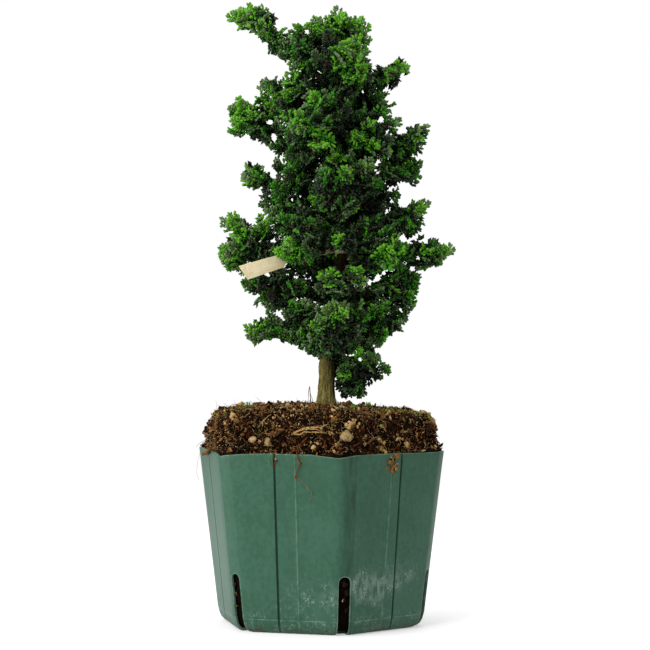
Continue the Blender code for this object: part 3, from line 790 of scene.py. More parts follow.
def soil_material():
    made, tree, surface, point = opened("soil_body", colour(16, 10, 6), 0.95, Specular_IOR_Level=0.05)
    dark = mottle(tree, point, 190, 900, colour(8, 4, 2), colour(34, 22, 12))
    red = patches(tree, point, 130, 700, 0.7)
    base = mixed(tree, red, dark["Color"], colour(88, 46, 24))
    height = add(tree, "SeparateXYZ", Vector=point).outputs["Z"]
    # Painted shade: the soil darkens below the rim, inside the pot.
    painted_shade_below_rim = stepped(tree, height, POT_RIM - 0.002, POT_RIM - 0.030, 0, 0.8)
    base = mixed(tree, painted_shade_below_rim, base, colour(8, 5, 3))
    tree.links.new(base, surface["Base Color"])
    tree.links.new(bump(tree, dark["Height"], 0.9, 0.0012), surface["Normal"])
    return made


soil = piece(mesh_from(soil_body(), "root_ball_body", soil_material()), "soil", "root_ball")
soil.data.shade_smooth()
print("soil faces", len(soil.data.polygons))

# %% [markdown]
# Flakes and crumbs are scattered by area over the faces that show above the rim. Their colours are plain
# and dealt out one by one, because a pattern on thousands of joined crumbs would only blur.

# %% Mix the soil's colours and find its faces
SOIL_COLOURS = {
    "soil_black": (7, 4, 2), "soil_dark": (37, 24, 13), "soil_brown": (122, 87, 50),
    "soil_red": (116, 57, 30), "soil_tan": (208, 172, 114), "soil_cream": (206, 184, 132),
    "soil_rust": (168, 114, 58), "soil_moss": (114, 166, 42), "soil_root": (200, 162, 98),
    "soil_lichen": (146, 146, 66),
}
BLACK, DARK, BROWN, RED, TAN, CREAM, RUST, MOSS, ROOT, LICHEN = range(10)

soil_materials = [
    material_of(name, colour(*rgb), 0.95, Specular_IOR_Level=0.05) for name, rgb in SOIL_COLOURS.items()
]


def soil_faces():
    """The body's faces above the rim: their corners, normals and areas."""
    mesh = soil.data
    points = np.empty(len(mesh.vertices) * 3)
    mesh.vertices.foreach_get("co", points)
    sides = np.empty(len(mesh.polygons) * 3, np.int32)
    mesh.polygons.foreach_get("vertices", sides)
    corners = points.reshape(-1, 3)[sides.reshape(-1, 3)]
    cross = np.cross(corners[:, 1] - corners[:, 0], corners[:, 2] - corners[:, 0])
    size = np.linalg.norm(cross, axis=1)
    above = (corners[:, :, 2].mean(1) > POT_RIM - 0.0015) & (size > 1e-12)
    return corners[above], cross[above] / size[above, None], size[above] / 2


soil_corners, soil_normals, soil_areas = soil_faces()
print("soil faces that show", len(soil_areas))

# %% [markdown]
# Each flake or crumb is a lumpy little shape of twenty faces or fewer, flattened and turned at random. The
# lower soil is darker and the crest paler, the hollows get painted shade and the lumps painted light, so a
# grain's shade is drawn from shares that depend on where it lies.

# %% Scatter flakes and crumbs
LOW_SHARES = (0.46, 0.29, 0.13, 0.05, 0.050, 0.006, 0.014)  # of the shades from black to rust
TOP_SHARES = (0.14, 0.19, 0.32, 0.04, 0.235, 0.030, 0.045)
HOLLOW_SHADE = 1.1
PALE_HEIGHT = 0.024
FLAKE_COUNT = 4600
CRUMB_COUNT = 6000
GRAIN_KINDS = 4
GRAIN_SEED = 5
DULL_FROM = 0.0010  # most tan pieces above this size are brown instead
DULL_CHANCE = 0.65


def spots_on_soil(count, rng, side_bias=1.6):
    """Random places on the exposed soil, with its normal there; its sides get more than its top."""
    weight = soil_areas * np.where(soil_normals[:, 2] < 0.5, side_bias, 1.0)
    picked = rng.choice(len(weight), count, p=weight / weight.sum())
    a, b = np.sqrt(rng.random(count))[:, None], rng.random(count)[:, None]
    tri = soil_corners[picked]
    return tri[:, 0] * (1 - a) + tri[:, 1] * a * (1 - b) + tri[:, 2] * a * b, soil_normals[picked]


def random_turns(count, rng):
    """Random rotation matrices."""
    q = rng.normal(size=(count, 4))
    w, x, y, z = (q / np.linalg.norm(q, axis=1)[:, None]).T
    rows = [
        [1 - 2 * (y * y + z * z), 2 * (x * y - z * w), 2 * (x * z + y * w)],
        [2 * (x * y + z * w), 1 - 2 * (x * x + z * z), 2 * (y * z - x * w)],
        [2 * (x * z - y * w), 2 * (y * z + x * w), 1 - 2 * (x * x + y * y)],
    ]
    return np.array(rows).transpose(2, 0, 1)


def lumpy_shape(bm, seed, rough=0.3):
    """A small shape with its corners moved in and out."""
    rng = random.Random(seed)
    for vert in bm.verts:
        vert.co *= rng.uniform(1 - rough, 1 + rough / 2)
    return shape_arrays(bm)


def lumpy_flake(seed):
    bm = bmesh.new()
    bmesh.ops.create_icosphere(bm, subdivisions=1, radius=1)
    return lumpy_shape(bm, seed)


def lumpy_crumb(seed):
    bm = bmesh.new()
    bmesh.ops.create_uvsphere(bm, u_segments=4, v_segments=2, radius=1)
    return lumpy_shape(bm, seed)


def soil_shades(spots, rng):
    """A shade for each place: darker low down, paler on the crest, painted shade in hollows, painted light on
    lumps.
    """
    heights = spots[:, 2]
    # Painted shade in the hollows and painted light on the lumps, from the noise that shaped the body.
    lumps = np.array([noise.noise(Vector(spot) * LUMP_SCALE) for spot in spots])
    pale = np.clip((heights - POT_RIM) / PALE_HEIGHT, 0, 1) * 0.8 + 0.1 + HOLLOW_SHADE * lumps
    pale = np.clip(pale, 0, 1)[:, None]
    shares = np.array(LOW_SHARES) * (1 - pale) + np.array(TOP_SHARES) * pale
    shares /= shares.sum(1)[:, None]
    return (rng.random(len(heights))[:, None] > np.cumsum(shares, axis=1)).sum(1).clip(0, RUST)


def scattered(count, shapes, small, large, power, stretch, sink, rng):
    """Copies of some small shapes on the exposed soil, in sizes from small to large."""
    spots, normals = spots_on_soil(count, rng)
    size = small + (large - small) * rng.random(count) ** power
    shades = soil_shades(spots, rng)
    dull = (size > DULL_FROM) & (shades == TAN) & (rng.random(count) < DULL_CHANCE)
    shades = np.where(dull, BROWN, shades)
    sizes = size[:, None] * rng.uniform(*stretch, (count, 3))
    lift = normals * size[:, None] * sink
    turns = random_turns(count, rng) * sizes[:, None, :]
    places = np.concatenate([turns, (spots + lift)[:, :, None]], axis=2)
    parts = []
    for kind, shape in enumerate(shapes):
        mine = np.arange(count) % len(shapes) == kind
        parts.append((*copies(shape, places[mine]), np.repeat(shades[mine], len(shape[1]))))
    return parts


rng = np.random.default_rng(GRAIN_SEED)
flakes = [lumpy_flake(GRAIN_SEED + k) for k in range(GRAIN_KINDS)]
crumbs = [lumpy_crumb(GRAIN_SEED + k) for k in range(GRAIN_KINDS)]
flat_ranges = ([0.9, 0.5, 0.25], [1.6, 1.0, 0.5])
round_ranges = ([0.8, 0.6, 0.5], [1.5, 1.1, 0.9])
parts = scattered(FLAKE_COUNT, flakes, 0.0006, 0.0021, 2.2, flat_ranges, 0.45, rng)
parts += scattered(CRUMB_COUNT, crumbs, 0.0003, 0.0009, 2.0, round_ranges, 0.3, rng)
print("flakes and crumbs", FLAKE_COUNT, CRUMB_COUNT)

# %% [markdown]
# A clod is a handful of lumps, most of one shade, packed into an ellipsoid that sits on the surface. Clods
# break up the even scatter of single crumbs.

# %% Pack the clods
CLOD_LUMP = lumpy_flake(91)
CLOD_COUNT = 180
CLOD_LUMPS = 11
CLOD_SHADES = (DARK, BROWN, TAN, RUST, LICHEN)
CLOD_SHARES = (0.34, 0.34, 0.16, 0.10, 0.06)
CLOD_MAIN_SHARE = 0.75
CLOD_LEAST_HEIGHT = POT_RIM + 0.006


def clod(spot, axes, shade, count, rng, coarse=1.0):
    """A clod: lumps packed into an ellipsoid on the surface, most of one shade."""
    ways = rng.normal(size=(count, 3))
    ways /= np.linalg.norm(ways, axis=1)[:, None]
    offsets = (ways * rng.uniform(0.25, 0.85, (count, 1))) @ np.array(axes)
    size = np.linalg.norm(axes, axis=1).mean() * rng.uniform(0.30, 0.55, count) * coarse
    turns = random_turns(count, rng)
    turns = turns * (size[:, None] * rng.uniform(0.6, 1.15, (count, 3)))[:, None, :]
    places = np.concatenate([turns, (np.array(spot) + offsets)[:, :, None]], axis=2)
    points, triangles = copies(CLOD_LUMP, places)
    odd = rng.choice((DARK, BROWN, TAN), count)
    shades = np.where(rng.random(count) < CLOD_MAIN_SHARE, shade, odd)
    return points, triangles, np.repeat(shades, len(CLOD_LUMP[1]))


def clods(rng):
    spots, normals = spots_on_soil(CLOD_COUNT, rng, 0.8)
    shades = rng.choice(CLOD_SHADES, CLOD_COUNT, p=CLOD_SHARES)
    parts = []
    for spot, normal, shade in zip(spots, normals, shades):
        if spot[2] < CLOD_LEAST_HEIGHT:
            continue
        size = rng.uniform(0.0010, 0.0027)
        axes = random_turns(1, rng)[0] * size * np.array([[1.2], [0.9], [0.8]])
        parts.append(clod(spot + normal * size * 0.4, axes, shade, CLOD_LUMPS, rng))
    return parts


parts += clods(rng)
points, triangles, shades = joined(parts)
piece(mesh_of_arrays("soil_grains", points, triangles, soil_materials, shades, smooth=False), "soil")
print("grain triangles", len(triangles))

# %% [markdown]
# Rootlets are thin tubes that wander over the soil. A line starts on the surface, takes short steps along
# it and is set back to just above the nearest point of the body each time, so it lies across the crumbs.
# Short hairs stick out into the air.

# %% Lay the rootlets
ROOTLET_COUNT = 2900
ROOTLET_STEPS = 8
ROOTLET_SHADES = (DARK, BROWN, RED, TAN, ROOT)
ROOTLET_SHARES = (0.18, 0.30, 0.27, 0.19, 0.06)
ROOTLET_STEP = (0.0006, 0.0019)
ROOTLET_RISE = (0.0003, 0.0030)
ROOTLET_THIN = 0.00009
ROOTLET_MORE = 0.00016
HAIR_COUNT = 520
HAIR_STEPS = 5
HAIR_STEP = 0.0005
HAIR_STEP_MORE = 0.0015
HAIR_RADII = (0.00015, 0.00006)


def face_tree(*meshes):
    """The faces of some meshes as one set that rays can meet."""
    corners, sides = [], []
    for mesh in meshes:
        first = len(corners)
        corners += [vert.co.copy() for vert in mesh.vertices]
        sides += [[first + i for i in face.vertices] for face in mesh.polygons]
    return BVHTree.FromPolygons(corners, sides)


soil_tree = face_tree(soil.data)


def rootlets(rng):
    """Rootlets that lie on the soil."""
    spots, normals = spots_on_soil(ROOTLET_COUNT, rng, 2.0)
    shades = rng.choice(ROOTLET_SHADES, ROOTLET_COUNT, p=ROOTLET_SHARES)
    parts = []
    for spot, normal, shade in zip(spots, normals, shades):
        way = Vector(rng.normal(size=3)).cross(Vector(normal)).normalized()
        at = Vector(spot)
        line = [at + Vector(normal) * 0.0002]
        step = rng.uniform(*ROOTLET_STEP)
        rise = rng.uniform(*ROOTLET_RISE)
        for _ in range(ROOTLET_STEPS):
            way = (way + Vector(rng.normal(size=3)) * 0.5).normalized()
            near, facing, _, _ = soil_tree.find_nearest(at + way * step)
            at = near + facing * rng.uniform(0.3, 1) * rise
            if at.z > POT_RIM - 0.001:
                line.append(at.copy())
        if len(line) > 3:
            thick = ROOTLET_THIN + ROOTLET_MORE * rng.random() ** 2
            parts.append((*thread(line, np.linspace(thick, thick * 0.5, len(line))), shade))
    return parts


def hairs(rng):
    """Fine rootlets and bits that stick out of the top and the sides."""
    spots, normals = spots_on_soil(HAIR_COUNT, rng, 0.8)
    parts = []
    for spot, normal in zip(spots, normals):
        way = (Vector(normal) + Vector(rng.normal(size=3)) * 0.6).normalized()
        line = [Vector(spot)]
        step = HAIR_STEP + HAIR_STEP_MORE * rng.random() ** 2
        for _ in range(HAIR_STEPS):
            way = (way + Vector(rng.normal(size=3)) * 0.5).normalized()
            line.append(line[-1] + way * step)
        shade = rng.choice((BROWN, TAN, DARK))
        parts.append((*thread(line, np.linspace(*HAIR_RADII, len(line))), shade))
    return parts


rng = np.random.default_rng(17)
points, triangles, shades = joined(rootlets(rng) + hairs(rng))
piece(mesh_of_arrays("rootlets", points, triangles, soil_materials, shades), "soil")
print("rootlet triangles", len(triangles))

# %% [markdown]
# The photograph shows some pieces that a passer-by would know this root ball by: pale pebbles, a bundle of
# tan roots, red roots that hang over the rim, a rusty clump and spots of moss. They are listed in the
# picture's pixels. A ray from the camera finds the soil or the pot behind each, and the piece lies on that.

# %% Name the things on the soil
PIXEL = 0.0006875
PHOTO_MIDDLE = 325
STONES = (
    (253, 440, 3.7, 3.1, CREAM), (268, 442, 3.0, 5.3, CREAM), (260, 442, 2.0, 2.0, CREAM),
    (253.5, 426, 1.8, 1.8, CREAM), (271, 434, 1.4, 1.4, TAN), (246, 429, 1.0, 2.4, CREAM),
    (276, 418, 1.0, 2.0, CREAM), (308.5, 423.5, 1.1, 1.1, CREAM), (312, 436.5, 1.8, 1.6, CREAM),
    (311, 442.5, 1.2, 1.9, CREAM), (234, 417, 3.2, 4.4, TAN), (264, 410.5, 4.4, 3.6, BROWN),
    (289, 407, 2.8, 2.6, TAN), (241.5, 404.8, 4.0, 2.2, TAN), (342.8, 408.4, 4.4, 2.2, CREAM),
    (348, 402, 6.0, 3.6, BROWN), (345.5, 436.5, 6.6, 5.2, CREAM), (348, 425.3, 4.8, 3.0, TAN),
    (353.8, 421.5, 2.6, 3.1, ROOT), (358, 426, 2.6, 2.2, ROOT), (335.5, 419, 2.5, 1.9, RUST),
    (365.7, 436, 1.3, 1.5, CREAM), (364.5, 444.2, 2.0, 2.3, CREAM), (417, 422.5, 1.0, 1.0, CREAM),
    (430, 447.5, 3.2, 1.8, CREAM), (401, 438.5, 2.1, 1.6, ROOT), (405.7, 444.5, 2.4, 3.6, ROOT),
    (432.5, 421.8, 3.8, 4.6, CREAM), (421, 413.5, 3.2, 2.6, TAN), (378, 439.5, 2.8, 2.6, ROOT),
    (383, 443, 2.6, 2.2, ROOT), (380, 448.5, 3.0, 2.0, ROOT), (384, 451.5, 2.6, 2.4, ROOT),
    (393, 452, 2.2, 2.2, RUST), (396, 456.5, 2.6, 2.1, RUST), (391.5, 459.5, 2.3, 2.2, RUST),
    (389, 463.5, 2.5, 2.2, RUST), (393, 466, 2.5, 2.2, RUST), (395.3, 469, 2.2, 2.1, RUST),
    (391.5, 471, 2.1, 2.0, RUST), (424, 412, 3.5, 2.8, BROWN), (430, 416, 3.5, 3.5, LICHEN),
    (436, 428, 2.4, 4.5, BROWN), (205, 430, 2.4, 5.0, DARK), (222, 408.5, 4.0, 2.4, DARK),
    (295.5, 478, 1.6, 1.6, RUST), (300.5, 463, 1.2, 1.6, RUST), (276, 460, 1.1, 2.2, RED),
    # The clods from 584 to 610 pixels down lie in the slots; their black and dark shades are painted shade.
    (213.5, 445, 2.2, 2.4, BROWN), (344, 584, 2.6, 2.2, DARK), (346, 593, 1.8, 3.2, DARK),
    (343, 602, 2.4, 2.6, BLACK), (346, 610, 2.0, 2.6, DARK), (236, 584, 1.6, 2.2, BLACK),
    (236.5, 594, 1.4, 1.8, BROWN), (238, 604, 1.6, 2.2, BLACK), (316, 447, 5.0, 2.6, DARK),
    (338, 446, 3.6, 2.2, RED), (396, 463, 1.7, 1.7, RUST), (388, 468, 1.6, 1.5, RUST),
)  # pixel across and down, half sizes in pixels, shade
ROOTS = (
    (((293, 433.5), (302, 429), (312, 427.8), (320, 428), (328, 424.5)), 0.00056, ROOT),
    (((293, 434.5), (300, 431.5), (309, 429.5), (317, 429.8), (325, 431.5)), 0.00050, ROOT),
    (((295, 434.5), (306, 431.8), (316.5, 432), (326.5, 434)), 0.00054, ROOT),
    (((294, 433), (303, 430.2), (313, 429.2), (322, 426)), 0.00040, TAN),
    (((293, 435), (288, 439), (281, 444), (276, 449), (273.5, 452.5), (275, 457), (276, 462),
      (274, 469)), 0.00042, RED),
    (((268.5, 460.5), (270.5, 464.5), (274, 468)), 0.00020, LICHEN),
    (((306.5, 438), (302, 443.5), (297, 448), (297, 452.5), (298.5, 458), (300.5, 463), (298.5, 470),
      (295, 478)), 0.00050, RED),
    (((295, 478), (300, 479), (306.5, 486), (312, 492), (313, 497), (309.5, 500)), 0.00020, RUST),
    (((302, 443.5), (300, 449), (302, 455)), 0.00026, RED),
    (((262, 426.5), (263.5, 421.5), (268, 417), (273.5, 414), (278, 412)), 0.00032, TAN),
    (((241, 414), (248.5, 417), (252, 420)), 0.00035, DARK),
    (((206.5, 453.5), (208.5, 452.5), (211.5, 451), (214.5, 449.5), (217.5, 448)), 0.00140, BROWN),
    (((214, 449), (215, 446), (214.5, 443), (216, 440)), 0.00070, RED),
    (((214, 426), (209.5, 431.5), (208, 437.5)), 0.00036, RUST),
    (((353, 447), (358, 442.5), (365, 439), (374, 436.5)), 0.00028, RED),
    (((329, 442), (333.5, 444), (338.5, 448)), 0.00026, BROWN),
    (((326, 451), (336.5, 453), (350, 451)), 0.00040, BROWN),
    (((324, 441), (325, 448), (326.5, 452)), 0.00040, RED),
    (((319, 407), (326, 406), (333, 405), (342, 406.5)), 0.00045, BROWN),
    (((333.5, 397.5), (336, 399.5), (338.5, 403)), 0.00022, TAN),
    (((393, 472), (393, 480), (393.3, 487)), 0.00014, LICHEN),
    (((376, 436), (379, 440), (383, 444), (386, 449)), 0.00030, TAN),
    (((393, 450), (394, 456), (390, 463), (393, 471)), 0.00030, RUST),
    (((204, 440), (199, 444), (196, 447)), 0.00012, BROWN),
    (((200, 453), (197.5, 462), (196.5, 471), (199, 480)), 0.00010, TAN),
    (((311, 383), (309, 389), (308.5, 396), (307.5, 406)), 0.00028, BROWN),
    (((309, 391), (312, 398), (313, 404)), 0.00018, BROWN),
)  # pixels along it, radius at its thick end in metres, shade
TUFTS = (
    (246, 408, 4.2, 2.0, 34, MOSS), (215, 413, 4.2, 2.6, 30, LICHEN), (353.3, 410.3, 1.9, 1.8, 24, MOSS),
    (368.6, 408, 1.8, 1.6, 40, MOSS), (394, 410.5, 6.0, 2.6, 36, LICHEN), (433, 421, 3.0, 3.0, 16, LICHEN),
    (230, 410, 3.0, 1.5, 14, LICHEN), (385, 411, 3, 1.5, 18, LICHEN), (402, 413, 4, 1.5, 22, LICHEN),
    (411, 413, 4, 1.5, 20, LICHEN), (419, 415, 4, 2, 20, LICHEN), (428, 417, 3, 2, 20, LICHEN),
    (222, 414, 5, 2.5, 22, LICHEN), (239, 411, 5, 2, 18, LICHEN), (259, 434, 1.0, 2.0, 5, MOSS),
    (333, 427, 1.2, 1.2, 5, MOSS),
)  # pixel across and down, half sizes in pixels, count of leaves, shade
print("stones and clods", len(STONES), "roots", len(ROOTS), "tufts", len(TUFTS))

# %% [markdown]
# A pixel is turned into a line of sight from the camera, and the first face that the line meets carries the
# piece. Where it passes the object, the nearest point to it takes over.

# %% Find what a pixel shows
GROUND_DEPTHS = np.linspace(-0.09, 0.03, 25)

ground = face_tree(soil.data, pot_mesh)


def view_way(x, y):
    """The direction from the camera through a pixel of the photograph."""
    return Vector(((x - PHOTO_MIDDLE) * PIXEL, -CAMERA_SPOT.y, (PHOTO_MIDDLE - y) * PIXEL)).normalized()


def at_depth(way, depth):
    """The point of a line of sight at a place towards the back."""
    return CAMERA_SPOT + way * ((depth - CAMERA_SPOT.y) / way.y)


def met_at(faces, x, y, depths):
    """What lies at a pixel, or else closest to its line of sight: the point on that line and the faces' own
    nearest point, its normal and its face."""
    way = view_way(x, y)
    hit, facing, face, _ = faces.ray_cast(CAMERA_SPOT, way)
    if hit is not None:
        return hit, hit, facing, face
    best = None
    for depth in depths:
        point = at_depth(way, depth)
        near, facing, face, far = faces.find_nearest(point)
        if best is None or far < best[0]:
            best = (far, point, near, facing, face)
    return best[1:]


def on_ground(x, y):
    """The point of the soil or the pot at a pixel, or else nearest to its line of sight, and its normal."""
    _, spot, facing, _ = met_at(ground, x, y, GROUND_DEPTHS)
    return spot, facing


def beside_last(x, y, last):
    """The point of the soil or the pot at a pixel; beside the object, the point as deep as the last one."""
    way = view_way(x, y)
    hit, facing, _, _ = ground.ray_cast(CAMERA_SPOT, way)
    if hit is not None or last is None:
        return on_ground(x, y)
    return at_depth(way, last.y), Vector((0, 0, 0))


def across_view(facing):
    """Two directions along a surface: to the right and upwards as the camera sees it, and its normal."""
    up = (UP - facing * facing.z).normalized() if abs(facing.z) < 0.95 else Vector((0, 1, 0))
    return up.cross(facing) * -1, up, facing


print("ground at the first pebble", tuple(on_ground(*STONES[0][:2])[0]))

# %% [markdown]
# A pebble is one lumpy stone with a pitted finish, and a brown thing is a clod. The camera sees only their
# front half, so each leans a little towards it and sinks a little into the soil.

# %% Lay the pebbles and clods
CLOD_GROWTH = 1.3
CLOD_COARSE = 1.5
STONE_THICK = 0.62


def stones():
    """Rough pebbles, and clods for the brown things."""
    parts = []
    for k, (x, y, wide, high, shade) in enumerate(STONES):
        rng = random.Random(k)
        spot, facing = on_ground(x, y)
        facing = (facing + Vector((0, -0.8, 0.1))).normalized()
        right, up, out = across_view(facing)
        thick = min(wide, high) * STONE_THICK
        most = 0.5 if wide > 1.6 * high else 0.2
        lean = Matrix.Rotation(rng.uniform(-most, most), 3, out)
        grow = PIXEL if shade == CREAM else PIXEL * CLOD_GROWTH
        axes = [lean @ right * wide * grow, lean @ up * high * grow, out * thick * grow]
        centre = spot + out * thick * grow * 0.6
        if shade != CREAM:
            count = int(5 + wide * high * 0.7)
            parts.append(clod(centre, axes, shade, count, np.random.default_rng(k), CLOD_COARSE))
            continue
        bm = bmesh.new()
        bmesh.ops.create_icosphere(bm, subdivisions=2 if wide > 2.5 else 1, radius=1.12)
        shape = lumpy_shape(bm, k, 0.26)
        parts.append((*copies(shape, np.array([*axes, centre]).T[None]), PEBBLE))
    return parts


def pebble_material():
    made, tree, surface, point = opened("soil_pebble", colour(196, 176, 128), 0.95, Specular_IOR_Level=0.05)
    base = mottle(tree, point, 420, 2400, colour(150, 118, 66), colour(220, 194, 140))["Color"]
    pits = stepped(tree, speckle(tree, point, 1500, 3), 0.52, 0.62)
    base = mixed(tree, times(tree, pits, 0.6), base, colour(96, 74, 42))
    tree.links.new(base, surface["Base Color"])
    return made


PEBBLE = len(soil_materials)
points, triangles, shades = joined(stones())
stone_materials = soil_materials + [pebble_material()]
piece(mesh_of_arrays("soil_stones", points, triangles, stone_materials, shades, smooth=False), "soil")
print("triangles of stones and clods", len(triangles))

# %% [markdown]
# Roots are thicker threads that rest on whatever the camera sees at their pixels. A tuft of moss or weed is
# a handful of tiny leaves that lean up and outwards.

# %% Lay the roots and tufts
ROOT_SIDES = 7
MOSS_RISE = 0.0030


def roots():
    parts = []
    for k, (pixels, radius, shade) in enumerate(ROOTS):
        rng = random.Random(k)
        line = []
        for (x0, y0), (x1, y1) in zip(pixels[:-1], pixels[1:]):
            for share in (0, 0.5):
                jog = 0.5 if share else 0
                x = x0 + (x1 - x0) * share + rng.uniform(-jog, jog)
                y = y0 + (y1 - y0) * share + rng.uniform(-jog, jog)
                spot, facing = beside_last(x, y, line[-1] if line else None)
                line.append(spot + facing * (radius + rng.uniform(0.0002, 0.0009)))
        spot, facing = beside_last(*pixels[-1], line[-1])
        line.append(spot + facing * (radius + 0.0003))
        swell = np.array([rng.uniform(0.8, 1.25) for _ in line])
        thick = np.linspace(radius, radius * 0.6, len(line)) * swell
        parts.append((*thread(line, thick, ROOT_SIDES), shade))
    return parts


def tufts():
    parts = []
    leaf = lumpy_crumb(3)
    for k, (x, y, wide, high, count, shade) in enumerate(TUFTS):
        rng = np.random.default_rng(k)
        places = []
        for _ in range(count):
            spot, facing = on_ground(x + rng.uniform(-wide, wide), y + rng.uniform(-high, high))
            spot = spot + UP * (rng.uniform(0, MOSS_RISE) if shade == MOSS else 0)
            way = (facing * 0.6 + UP * 0.8 + Vector(rng.normal(size=3)) * 0.5).normalized()
            side = way.orthogonal().normalized()
            size = rng.uniform(0.0005, 0.0010)
            axes = [way * size * 1.5, side * size * 0.8, way.cross(side) * size * 0.5]
            places.append(np.array([*axes, spot + way * size]).T)
        parts.append((*copies(leaf, np.array(places)), shade))
    return parts


points, triangles, shades = joined(roots() + tufts())
piece(mesh_of_arrays("soil_finds", points, triangles, soil_materials, shades), "soil")
print("triangles of roots and tufts", len(triangles))

# %% [markdown]
# ## The line of the trunk
#
# Bark, stems and foliage all need to know where the trunk runs. Its solid is a stack of rings. The mean of
# a ring's points gives its middle, and their mean distance from there its radius. Heights in between are
# interpolated.


# %% Read the trunk from its solid
def trunk_line():
    """The heights, middles and radii of the trunk's rings."""
    points = node_points("trunk")
    heights = np.unique(points[:, 2].round(5))
    rings = [points[np.abs(points[:, 2] - z) < 2e-5] for z in heights]
    middles = np.array([ring.mean(0) for ring in rings])
    gaps = [np.linalg.norm((ring - middle)[:, :2], axis=1) for ring, middle in zip(rings, middles)]
    return heights, middles, np.array([gap.mean() for gap in gaps])


trunk_heights, trunk_middles, trunk_radii = trunk_line()


def middle_at(heights):
    """The middle of the trunk at one height or at many."""
    return np.stack([np.interp(heights, trunk_heights, trunk_middles[:, i]) for i in (0, 1)], -1)


def trunk_at(height):
    """The middle of the trunk and its radius at a height."""
    return Vector((*middle_at(height), height)), float(np.interp(height, trunk_heights, trunk_radii))


def off_trunk(points):
    """How far points lie from the middle of the trunk."""
    return np.hypot(*(points[:, :2] - middle_at(points[:, 2])).T)


print("trunk rings", len(trunk_heights))

# %% [markdown]
# ## Bark
#
# The trunk is about as thick as a finger, with thin olive-brown bark that splits in short upright furrows.
# A circle is extruded upwards ring by ring along the line of the CAD trunk, then noise that is stretched
# along the height pushes the surface in where the furrows run. Inside the crown the bark gets painted shade.

# %% Model the trunk
TRUNK_SIDES = 48
TRUNK_STEP = 0.0011
FURROW_DEPTH = 0.00075
# The bark gets painted shade between these heights, inside the crown.
CROWN_SHADE_HEIGHTS = (0.196, 0.226)  # the heights between which the bark darkens


def furrow(point, height):
    """The depth of the bark's relief at a point on a limb, between nothing and one."""
    stretched = Vector((point.x * 620, point.y * 620, height * 95))
    ridge = 1 - abs(noise.noise(stretched)) * 2.2
    return max(0, ridge) ** 2 * 0.9 + 0.35 * noise.fractal(point * 900, 1, 2, 3)


def trunk_mesh():
    bm = bmesh.new()
    low, high = trunk_heights[0] + 0.0001, trunk_heights[-1]
    middle, radius = trunk_at(low)
    place = Matrix.Translation(middle)
    bmesh.ops.create_circle(bm, segments=TRUNK_SIDES, radius=radius, cap_ends=True, matrix=place)
    edges = list(bm.edges)
    count = int((high - low) / TRUNK_STEP)
    for i in range(1, count + 1):
        height = low + (high - low) * i / count
        after, wide = trunk_at(height)
        edges, verts = extruded(bm, edges)
        bmesh.ops.translate(bm, vec=-middle, verts=verts)
        bmesh.ops.scale(bm, vec=(wide / radius, wide / radius, 1), verts=verts)
        bmesh.ops.translate(bm, vec=after, verts=verts)
        middle, radius = after, wide
    bmesh.ops.holes_fill(bm, edges=edges, sides=0)
    bmesh.ops.recalc_face_normals(bm, faces=bm.faces)
    bm.normal_update()
    for vert in bm.verts:
        middle, radius = trunk_at(vert.co.z)
        out = (vert.co - middle).normalized()
        ease = min(1, radius / 0.004)
        swell = 0.0005 * noise.noise(vert.co * 110)
        vert.co += out * ease * (swell - FURROW_DEPTH * furrow(vert.co, vert.co.z))
    return in_order(bm)


def bark_material():
    made, tree, surface, point = opened("bark", colour(112, 100, 62), 0.9, Specular_IOR_Level=0.1)
    streaks = add(tree, "Mapping", Vector=point, Scale=(1, 1, 0.16)).outputs[0]
    body = mottle(tree, streaks, 330, 1500, colour(76, 66, 30), colour(174, 160, 92))
    moss = patches(tree, point, 90, 420, 1.2)
    green = mixed(tree, moss, body["Color"], colour(98, 106, 38))
    dark = patches(tree, streaks, 210, 1100, 1.3)
    weathered = mixed(tree, dark, green, colour(52, 36, 24))
    height = add(tree, "SeparateXYZ", Vector=point).outputs["Z"]
    # Painted shade: the bark darkens inside the crown.
    painted_crown_shade = stepped(tree, height, *CROWN_SHADE_HEIGHTS, 0, 0.8)
    tree.links.new(mixed(tree, painted_crown_shade, weathered, colour(40, 24, 17)), surface["Base Color"])
    tree.links.new(bump(tree, body["Height"], 0.9, 0.0006), surface["Normal"])
    return made


bark = bark_material()
trunk_piece = piece(mesh_from(trunk_mesh(), "trunk_bark", bark), "bark", "trunk")
trunk_piece.data.shade_smooth()
print("trunk faces", len(trunk_piece.data.polygons))

# %% [markdown]
# The boughs are mostly hidden among the leaves, so copies of their CAD solids will do. They are cut finer,
# rounded a little and roughened by noise, and one piece stands for all of them.

# %% Roughen the boughs
bough_names = sorted(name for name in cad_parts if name.startswith("bough_"))


def bough_mesh():
    bm = solid_copy(*bough_names)
    bmesh.ops.dissolve_limit(bm, angle_limit=math.radians(1), verts=bm.verts, edges=bm.edges)
    bmesh.ops.triangulate(bm, faces=bm.faces)
    bmesh.ops.subdivide_edges(bm, edges=bm.edges[:], cuts=3, smooth=0.6, use_grid_fill=True)
    bm.normal_update()
    for vert in bm.verts:
        vert.co += vert.normal * 0.0003 * noise.fractal(vert.co * 700, 1, 2, 3)
    return bm


bough_piece = piece(mesh_from(bough_mesh(), "boughs_bark", bark), "bark", *bough_names)
bough_piece.data.shade_smooth()
print("bough faces", len(bough_piece.data.polygons))

# %% [markdown]
# ## The space of each mass
#
# Each mass of foliage has its own space. The smallest convex shape round its CAD solid gives that space's
# flat sides, and so the distance from its middle to its edge in any direction. A direction counts as open
# as far as rays from its end meet no other mass: open shoots grow full, and shut-in ones are left out.


